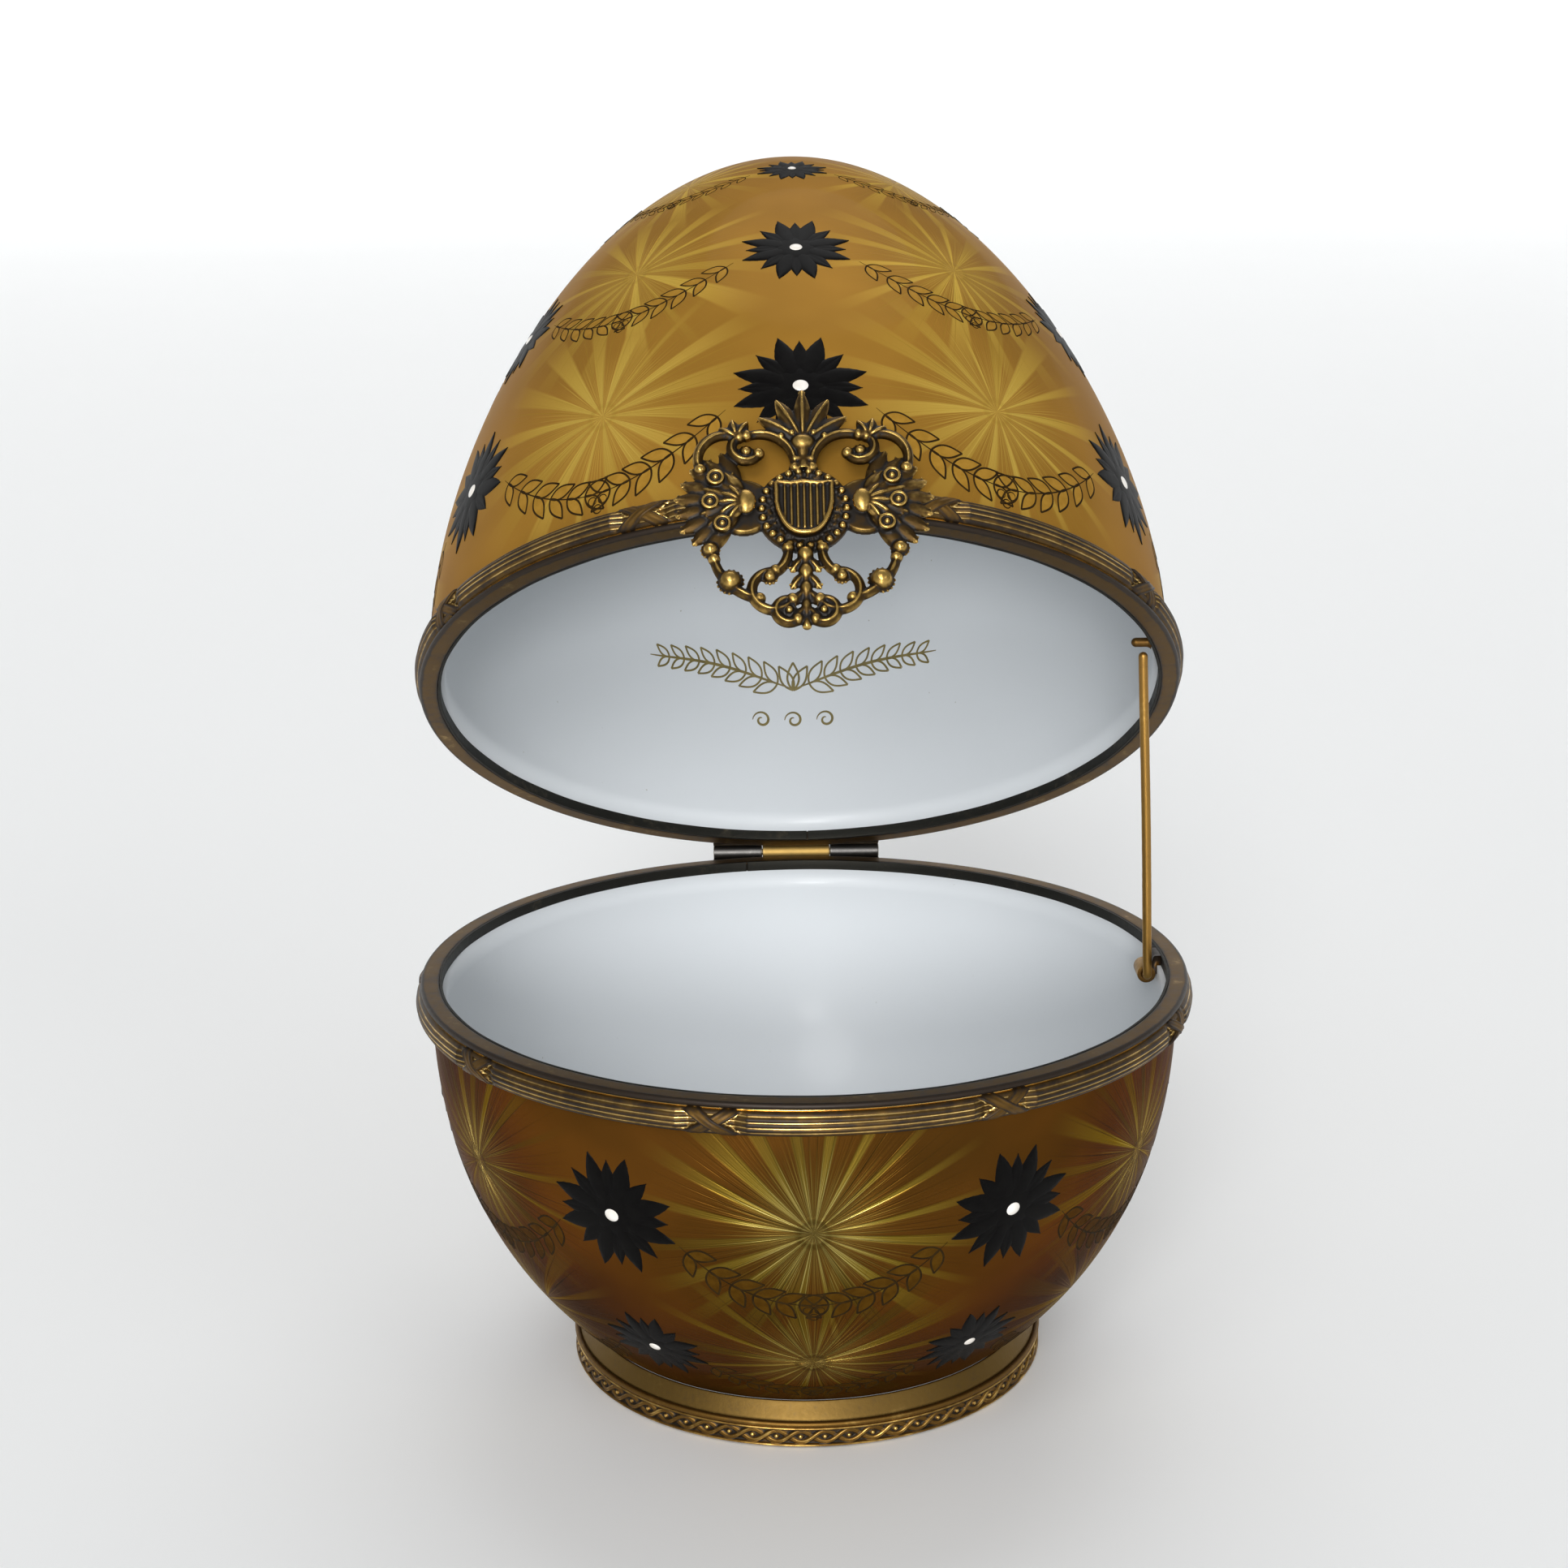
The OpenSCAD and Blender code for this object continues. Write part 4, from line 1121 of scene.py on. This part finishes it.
# The tubes are drawn a little longer and nearly meet
grow = 0.09
out_x = HINGE_W / 2
in_x = MIDDLE_W / 2 + TUBE_GAP - grow
mid_x = MIDDLE_W / 2 + grow
for name, x0, x1, body, slot in (("hinge_tube_left", -out_x, -in_x, "bowl", "hinge_brass"),
                                 ("hinge_tube_right", in_x, out_x, "bowl", "hinge_brass"),
                                 ("hinge_tube_middle", -mid_x, mid_x, "lid", "hinge_bright")):
    cast(rod_along_x(name, x0, x1, TUBE_R, PIN_R + 0.02), name, body, slot, 2, 4.0)
for node, slot in (("hinge_pin", "pin_steel"), ("bowl_hinge_seat", "seat_brass"),
                   ("lid_hinge_seat", "seat_brass"), ("badge_studs", "badge_brass")):
    dress(frame["nodes"][node], metals[slot])


# Stay
peg_reach = (HINGE_Y + PEG_H * math.sin(OPEN)) / math.cos(OPEN)
peg_y = HINGE_Y - peg_reach
peg_open_z = RIM_Z + peg_reach * math.sin(OPEN) + PEG_H * math.cos(OPEN)
pivot = np.array([PIVOT_X, 0, RIM_Z - PIVOT_DROP])
stay_top = np.array([STAY_TOP_X, 0, peg_open_z - PEG_R - WIRE_R - STAY_GAP])
front_y = WIRE_R + PIVOT_GAP
back_y = front_y + PIVOT_TUBE_W
BEND_R = 0.5
BOW = 0.12
TIP_ANGLES = np.radians(np.arange(85, 5, -15))


def stay_wire():
    """Wire with a domed tip, slightly bowed, bent at its foot into the tube."""
    n = 60
    t = np.linspace(0, 1, n)[:, None]
    path = stay_top + (pivot - stay_top) * t
    path[:, 0] += BOW * np.sin(math.pi * t[:, 0]) * np.sin(3 * t[:, 0])
    radii = np.full(n, WIRE_R)
    way = (stay_top - pivot) / np.linalg.norm(stay_top - pivot)
    tip = [stay_top + way * WIRE_R * math.sin(a) for a in TIP_ANGLES]
    tip_r = [WIRE_R * math.cos(a) for a in TIP_ANGLES]
    bend = []
    for a in np.radians(np.arange(0, 91, 15)):
        bend.append(pivot + way * BEND_R * (1 - math.sin(a)) + [0, BEND_R * (1 - math.cos(a)), 0])
    foot_path = [pivot + [0, y, 0] for y in np.linspace(0.7, back_y + 0.1, 12)]
    path = np.concatenate([tip, path[:-2], bend, foot_path])
    radii = np.concatenate([tip_r, radii[:-2], np.full(len(bend) + len(foot_path), WIRE_R)])
    radii = radii * (1 + 0.012 * noise_rng.uniform(-1, 1, len(radii)))
    return tube("stay_rod", path, radii)


cast(stay_wire(), "stay_rod", "stay", "stay_brass", 3, 2.5)

button_y = back_y + 0.15
button_r = (WIRE_R + PIVOT_TUBE_R) / 2
path = [pivot + [0, y, 0] for y in np.linspace(button_y, button_y + 0.5, 7)]
button = tube("stay_end_button", path, [button_r * k for k in (0.5, 0.9, 0.985, 0.985, 0.9, 0.6, 0.1)])
cast(button, "stay_end_button", "stay", "stay_brass", 2, 2.5)


def pivot_tube():
    """Tube with eased ends and a bore, and the lug that holds it to the lining."""
    bore = WIRE_R + 0.05
    section = rounded([(front_y, bore), (front_y, PIVOT_TUBE_R),
                       (back_y, PIVOT_TUBE_R), (back_y, bore)], EASE)
    a = ring_angles(40)[:, None]
    y, r = section.T
    pts = np.stack([PIVOT_X + r * np.cos(a), y + 0 * a, pivot[2] + r * np.sin(a)], -1)
    body = new_object("tube_part", pts, grid_faces(40, len(section), True, True, True))
    lug = []
    top = RIM_Z - HALF_GAP - 0.02
    step = RIM_Z - LINING_END
    for y in np.linspace(front_y + 0.02, back_y - 0.02, 9):
        wall_x = math.sqrt(LINING_R ** 2 - y ** 2)
        deep_x = math.sqrt(INNER_R ** 2 - y ** 2)
        corners = [(PIVOT_X + 0.5, pivot[2] + 1.1), (PIVOT_X + 0.9, top - 0.2), (PIVOT_X + 1.15, top),
                   (wall_x, top), (wall_x, step), (deep_x, step), (deep_x, pivot[2]),
                   (PIVOT_X + 0.9, pivot[2])]
        lug.append([(x, y, z) for x, z in corners])
    lug = np.array(lug)
    part = new_object("lug_part", lug, capped(*lug.shape[:2]), False)
    return joined("stay_pivot_tube", [body, part])


cast(pivot_tube(), "stay_pivot_tube", "bowl", "peg_brass", 2, 3.0)


def peg():
    """Wire peg with a domed free end, soldered into the lining."""
    x_end = math.sqrt(LINING_R ** 2 - peg_y ** 2)
    xs, rs = [], []
    for a in TIP_ANGLES:
        xs.append(PEG_END + PEG_R - PEG_R * math.sin(a))
        rs.append(PEG_R * math.cos(a))
    for x in np.linspace(PEG_END + PEG_R, x_end - 0.05, 18):
        xs.append(x)
        rs.append(PEG_R * (1 + 0.55 * max(0.0, (x - x_end + 0.7) / 0.7) ** 2))
    path = np.array([(x, peg_y, RIM_Z + PEG_H) for x in xs])
    return tube("stay_peg", opened(path), rs)


cast(peg(), "stay_peg", "lid", "peg_brass", 3, 2.5)


# Badge
class Clay(Gather):
    """Rods, balls and slabs in the badge's own plane, which melt into one casting."""

    def rod(self, path, radii, z, flat=1.0, n=14):
        """Rod that lies along a plane path at the height z, flattened by flat."""
        path = np.asarray(path, float)
        radii = np.asarray(radii, float) * np.ones(len(path))
        heights = np.asarray(z, float) * np.ones(len(path))
        a = ring_angles(n)
        rings = []
        for p, left, r, h in zip(path, side_way(path), radii, heights):
            ring = np.zeros((n, 3))
            ring[:, :2] = p + r * np.cos(a)[:, None] * left
            ring[:, 2] = h + r * flat * np.sin(a)
            rings.append(ring)
        self.take(np.concatenate(rings), capped(len(path), n, True))

    def ball(self, x, y, z, rx, ry=None, rz=None, n=16):
        """Ball with a radius in each direction."""
        ry = ry or rx
        rz = rz or rx
        t = math.pi * np.arange(1, n // 2)[:, None] / (n // 2)
        a = ring_angles(n)
        skin = np.stack([x + rx * np.sin(t) * np.cos(a), y + ry * np.sin(t) * np.sin(a),
                         z - rz * np.cos(t) + 0 * a], -1)
        pts = np.concatenate([[(x, y, z - rz)], skin.reshape(-1, 3), [(x, y, z + rz)]])
        last = len(pts) - 1
        faces = []
        for k in range(n):
            faces.append((0, 1 + (k + 1) % n, 1 + k))
            faces.append((last, last - n + k, last - n + (k + 1) % n))
        faces += list(1 + grid_faces(n // 2 - 1, n, False, True, True))
        self.take(pts, faces)

    def slab(self, outline, z0, z1, ease=0.2):
        """Plate with an eased upper edge."""
        outline = np.asarray(outline, float)
        centre = outline.mean(0)
        n = len(outline)
        reach = np.linalg.norm(outline - centre, axis=1).mean()
        shrink = centre + (outline - centre) * (1 - ease / reach)
        rings = [np.column_stack([way, np.full(n, z)])
                 for way, z in ((outline, z0), (outline, z1 - ease), (shrink, z1))]
        faces = list(grid_faces(3, n, False, True, True))
        self.take(np.concatenate(rings), faces + [range(n)[::-1], range(2 * n, 3 * n)])

    def build(self, name, voxel):
        """Melts everything into one skin."""
        obj = self.whole(name)
        mod = obj.modifiers.new("melt", "REMESH")
        mod.mode = "VOXEL"
        mod.voxel_size = voxel * MM
        mod.use_smooth_shade = True
        soft = obj.modifiers.new("soften", "SMOOTH")
        soft.factor = 0.5
        soft.iterations = 2
        deps = bpy.context.evaluated_depsgraph_get()
        mesh = bpy.data.meshes.new_from_object(obj.evaluated_get(deps))
        obj.modifiers.clear()
        obj.data = mesh
        return obj


SCROLLS = [((5.5, 6.3), 4.5, 70, 186), ((7.1, 8.8), 1.8, -150, 70), ((9.6, 7.2), 3.5, -25, 118),
           ((4.2, -5.4), 7.1, -78, -12), ((5.6, -5.8), 3.5, -112, -186), ((3.9, -11.2), 2.7, -150, 95),
           ((2.1, -14), 1.6, -130, 105)]
BOSSES = [((7.1, 8.1), 0.8), ((9.2, -10), 1.5), ((4.4, -9.4), 0.8), ((2.1, -14), 0.6), ((11.6, -5.6), 1.0)]
DISCS = [(10.9, 4.1), (11.6, 0.7), (10.1, -2.4)]
PLATE_T = 1.0
BAR_W = 1.3
WING_ROOT = (7.5, 0.5)
WING_TURN = -16
WING_FAN = 126
WING_HUB = 1.2
SHOULDER_R = 3.8
FEATHERS = 9
FEATHER_LEN = 7.0
FEATHER_W = 2.4
COVERTS = 7
COVERT_LEN = 4.8
COVERT_W = 2.0
DISC_R = 1.1
SHIELD_W = 7.4
SHIELD_H = 7.9
SHIELD_T = 1.0
SHIELD_RIBS = 7
COLLAR_R = 5.9
GRAINS = 420
VOXEL = 0.12
PEARLS = 26
PEARL_R = 0.5
PLUME_Z = 9.5
PLUME_LEN = 7.2
PLUME_W = 2.1
TAIL_Z = -16.6
BUD_START = -6.6
BUD_STEP = 2.3
BUD_LEN = 3.0
BUD_W = 1.2


def shield_outline(k=1.0):
    """Outline of the shield, shrunk by k about its middle."""
    w, h = SHIELD_W / 2, SHIELD_H
    pts = [(-w, 0.45 * h), (-w * 0.5, 0.42 * h), (0, 0.45 * h), (w * 0.5, 0.42 * h), (w, 0.45 * h)]
    for t in np.linspace(0, math.pi / 2, 12)[1:]:
        pts.append((w * math.cos(t) ** 0.75, 0.1 * h - 0.62 * h * math.sin(t) ** 1.4))
    outline = np.array(pts + [(-x, y) for x, y in pts[5:-1]][::-1])
    centre = np.array([0, -0.03 * h])
    return centre + (outline - centre) * k


def leaf_rods(clay, root, turn, length, width, z, curl=0.0, barbs=0, rise=0.5):
    """Leaf or feather: a fat midrib, thin rim and slanting barbs."""
    t = np.linspace(0, 1, 18)
    bend = curl * t ** 2
    ang = math.radians(turn) + math.pi / 2
    ax, ay = math.cos(ang), math.sin(ang)
    along, left = np.array([ax, ay]), np.array([-ay, ax])
    mid = np.asarray(root) + np.outer(t * length, along) + np.outer(bend, left)
    half = width / 2 * np.sin(math.pi * np.clip(t * 0.93 + 0.05, 0, 1)) ** 0.7
    clay.rod(mid, np.maximum(half, 0.12), z + 0.15, 0.62)
    clay.rod(mid, 0.16 + 0.10 * (1 - t), z + rise * half / half.max() + 0.18, 1.0)
    for k in range(barbs):
        f = (k + 1.2) / (barbs + 1.2)
        i = int(f * 17)
        for s in (-1, 1):
            a = mid[i]
            b = a + along * 0.8 + left * s * half[i] * 0.72
            high = np.linspace(rise * 0.8, 0.3, 5) * half[i] / half.max()
            clay.rod(np.linspace(a, b, 5), 0.13, z + high + 0.12)


def badge_wing(clay, m, side):
    """Fan of feathers in three rows, with three blank discs on it."""
    ring = ring_angles(40)[::side]
    shoulder = np.array(WING_ROOT) + SHOULDER_R * np.stack([np.cos(ring), np.sin(ring)], 1)
    clay.slab(m(shoulder), 0, PLATE_T, 0.3)
    rows = ((FEATHERS, WING_HUB + 1.0, FEATHER_LEN - 1.0, FEATHER_W, 0.4, 5),
            (COVERTS, 0.8, COVERT_LEN - 0.5, COVERT_W + 0.2, 1.0, 3), (5, 0.0, 3.0, 1.7, 1.45, 0))
    for row, (count, hub, length, width, z, barbs) in enumerate(rows):
        for i in range(count):
            f = i / (count - 1)
            turn = WING_TURN - WING_FAN * (0.04 * row + (1 - 0.08 * row) * f)
            ang = math.radians(turn) + math.pi / 2
            root = (WING_ROOT[0] + hub * math.cos(ang), WING_ROOT[1] + hub * math.sin(ang))
            size = 1.0 + 0.08 * math.sin(math.pi * f) - 0.03 * (i % 2)
            leaf_rods(clay, m([root])[0], turn * side, length * size, width, z, -0.5 * side, barbs, 0.5)
    clay.ball(side * (WING_ROOT[0] - 0.3), WING_ROOT[1] + 0.2, 1.75, 1.3, 1.7, 0.75)
    for x, y in DISCS:
        round_way = np.linspace(0, TAU, 25)[::side]
        disc_way = np.stack([side * x + DISC_R * np.cos(round_way), y + DISC_R * np.sin(round_way)], 1)
        clay.slab(disc_way[:-1], 0, PLATE_T + 0.95, 0.12)
        clay.rod(disc_way * 0.82 + 0.18 * np.array([side * x, y]), 0.22, PLATE_T + 1.0, n=8)
        clay.ball(side * x, y, PLATE_T + 0.9, 0.42, n=10)


def badge_scrolls(clay, m, side):
    """Fat scroll bars with a spine, volute ends, bosses on rope rings and small husks."""
    for c, r, a0, a1 in SCROLLS:
        way = np.radians(a0 + (a1 - a0) * np.linspace(0, 1, 30))
        path = np.stack([c[0] + r * np.cos(way), c[1] + r * np.sin(way)], 1)
        bow = np.sin(np.linspace(0, math.pi, 30))
        clay.rod(m(path), BAR_W / 2 * (0.92 + 0.16 * bow), 0.6 + 0.2 * bow, 0.95)
        clay.rod(m(path), 0.2, PLATE_T + 0.2 + 0.25 * bow, 1.0, 8)
        for end in (path[0], path[-1]):
            clay.ball(side * end[0], end[1], 0.85, 0.82, n=12)
    for c, r in BOSSES:
        clay.ball(side * c[0], c[1], 0.75, r, rz=r * 0.95 + 0.25)
        count = int(8 + 6 * r)
        for q in range(count):
            aa = TAU * q / count
            x = c[0] + (r + 0.1) * math.cos(aa)
            clay.ball(side * x, c[1] + (r + 0.1) * math.sin(aa), 0.8, 0.22, n=8)
    for turn in (25, -20, -65):
        leaf_rods(clay, m([(8.2, 10.2)])[0], side * turn, 2.6, 1.6, 0.8, 0.3 * side, 0, 0.6)


def badge():
    """The whole casting, bent upright against the lid's band."""
    clay = Clay()
    a = ring_angles(56)
    clay.slab(np.stack([COLLAR_R * np.cos(a), COLLAR_R * np.sin(a)], 1), 0, PLATE_T, 0.25)
    for _ in range(GRAINS):
        rr = COLLAR_R * math.sqrt(rng.uniform(0.2, 0.72))
        aa = rng.uniform(0, TAU)
        clay.ball(rr * math.cos(aa), rr * math.sin(aa), PLATE_T, rng.uniform(0.14, 0.24), n=8)
    for k in range(PEARLS):
        aa = TAU * (k + 0.5) / PEARLS
        rr = COLLAR_R - PEARL_R - 0.15
        clay.ball(rr * math.sin(aa), rr * math.cos(aa), PLATE_T + 0.05, PEARL_R, n=12)
    clay.slab(shield_outline(1.0), PLATE_T - 0.2, PLATE_T + SHIELD_T - 0.05, 0.25)
    edge = shield_outline(0.92)
    clay.rod(np.append(edge, edge[:1], 0), 0.3, PLATE_T + SHIELD_T, n=10)
    for k in range(SHIELD_RIBS):
        x = SHIELD_W * 0.86 * ((k + 1) / (SHIELD_RIBS + 1) - 0.5)
        top = 0.38 * SHIELD_H
        low = -0.42 * SHIELD_H * math.sqrt(max(0.0, 1 - (x / 3.7) ** 2)) + 0.1
        clay.rod([(x, top), (x, (top + low) / 2), (x, low)], 0.17, PLATE_T + SHIELD_T + 0.02, n=8)
    for side in (1, -1):
        def m(points):
            return np.asarray(points, float) * np.array([side, 1.0])
        badge_scrolls(clay, m, side)
        badge_wing(clay, m, side)
    for i in (-2, 2, -1, 1, 0):
        z = 0.6 + 0.15 * (2 - abs(i))
        leaf_rods(clay, (0, PLUME_Z), 26 * i, PLUME_LEN - 0.3 * abs(i), PLUME_W + 0.2, z, 0.3 * i, 0, 0.7)
    for i in range(-2, 3):
        clay.ball(1.35 * i, PLUME_Z + 1.6 - 0.45 * abs(i), 1.35, 0.42, n=10)
    clay.ball(0, PLUME_Z - 0.2, 1.0, 1.6, 1.35, 1.05)
    clay.ball(0, PLUME_Z + PLUME_LEN - 0.1, 0.8, 0.5)
    clay.rod([(0, 5.5), (0, 7.0), (0, 8.6)], [1.2, 0.8, 1.1], 0.8, 0.9)
    clay.rod([(-1.3, 7.0), (0, 7.0), (1.3, 7.0)], 0.36, 1.2, 1.0, 10)
    # Tail: stacked buds down the middle, with leaves on both sides
    stem = np.linspace(-5.6, TAIL_Z + 0.45, 40)
    buds = 0.5 + 0.36 * np.abs(np.sin(np.linspace(0.4, 4.5 * math.pi, 40)))
    clay.rod(np.stack([0 * stem, stem], 1), buds * np.linspace(1.25, 0.6, 40), 0.9, 1.0)
    for k in range(4):
        for s in (-1, 1):
            root = (0, BUD_START - BUD_STEP * k)
            leaf_rods(clay, root, s * 140, BUD_LEN - 0.1, BUD_W + 0.3, 0.7, 0, 2, 0.4)
    clay.ball(0, TAIL_Z + 0.45, 0.8, 0.6, 0.45)
    obj = clay.build("badge", VOXEL)
    mesh = obj.data
    co = spots(mesh)
    co[:, 2] = np.maximum(co[:, 2], 0.0)
    world = opened(np.stack([co[:, 0], -(BAND_R + 0.5) - co[:, 2], RIM_Z + co[:, 1]], -1))
    mesh.vertices.foreach_set("co", (world * MM).ravel())
    mesh.update()
    wear(obj, 40, 2.4, 0.13 * (co[:, 2] - 1.35))
    return obj


cast(badge(), "badge", "lid", "badge_brass")


# Floor and lights
SWEEP_FLAT = 2500
SWEEP_R = 1600
sweep = [(1.0, 0.0), (SWEEP_FLAT * 0.2, 0.0), (SWEEP_FLAT, 0.0)]
rise = np.radians(np.arange(6, 79, 6))
sweep += [(SWEEP_FLAT + SWEEP_R * math.sin(a), SWEEP_R * (1 - math.cos(a))) for a in rise]
sweep = np.array(sweep)
az = ring_angles(96)[:, None]
back = np.clip(0.2 - 1.6 * np.cos(az), 0, 1)
height = sweep[:, 1] * back * back * (3 - 2 * back)
points = ground(sweep[:, 0] + 0 * az, az + 0 * sweep[:, 0], height)
floor = new_object("floor", points, grid_faces(96, len(sweep), True))
m = Nodes("floor_pale")
grain = m.noise(m.objects(), 3.0, 2.0)
m.set("Base Color", m.mix(grain, rgb(241, 242, 242), rgb(244, 245, 245)))
m.set("Roughness", m.add(0.40, m.mul(grain, 0.05)))
m.set("Specular IOR Level", 0.3)
dress(floor, m.mat)

SKY_LIGHT = 0.34
SKY_COLOUR = (0.98, 0.99, 1.0, 1)
# Name, azimuth and elevation in degrees, strength, spread in degrees
SUNS = (("key", -20, 48, 0.4, 30), ("high", -10, 28, 1.15, 20), ("front", -4, 11, 1.4, 12),
        ("side", 44, 24, 0.3, 30), ("rear", 172, 58, 0.65, 40))
scene = bpy.context.scene
world = bpy.data.worlds.new("studio")
scene.world = world
world.use_nodes = True
world.node_tree.nodes["Background"].inputs[0].default_value = SKY_COLOUR
world.node_tree.nodes["Background"].inputs[1].default_value = SKY_LIGHT
for name, azimuth, elevation, strength, spread in SUNS:
    data = bpy.data.lights.new(name, "SUN")
    data.energy = strength
    data.angle = math.radians(spread)
    lamp = bpy.data.objects.new(name, data)
    scene.collection.objects.link(lamp)
    az, el = math.radians(azimuth), math.radians(elevation)
    way = Vector((-math.sin(az) * math.cos(el), math.cos(az) * math.cos(el), -math.sin(el)))
    lamp.rotation_euler = way.to_track_quat("-Z", "Y").to_euler()

# Camera at the photograph's angle
CAM_TILT = math.radians(14.892)
CAM_DIST = 370.389
CAM_FOCAL = 3289.762
CAM_ROLL = math.radians(-0.634)
CAM_AIM = (-2.491, 0.0, 83.693)
CAM_YAW = math.radians(0.7)
PHOTO_W = 1932
SENSOR_W = 36.0
data = bpy.data.cameras.new("camera")
data.sensor_width = SENSOR_W
data.sensor_fit = "HORIZONTAL"
data.lens = CAM_FOCAL / PHOTO_W * SENSOR_W
data.clip_start = 0.01
data.clip_end = 100
camera = bpy.data.objects.new("camera", data)
scene.collection.objects.link(camera)
forward = np.array([0, math.cos(CAM_TILT), -math.sin(CAM_TILT)])
eye = (np.array(CAM_AIM) - forward * CAM_DIST) * MM
turn = Matrix.Rotation(math.pi / 2 - CAM_TILT, 4, "X") @ Matrix.Rotation(CAM_ROLL, 4, "Z")
camera.matrix_world = Matrix.Rotation(-CAM_YAW, 4, "Z") @ Matrix.Translation(Vector(eye)) @ turn
scene.camera = camera
scene.view_settings.view_transform = "Standard"

bpy.context.view_layer.update()
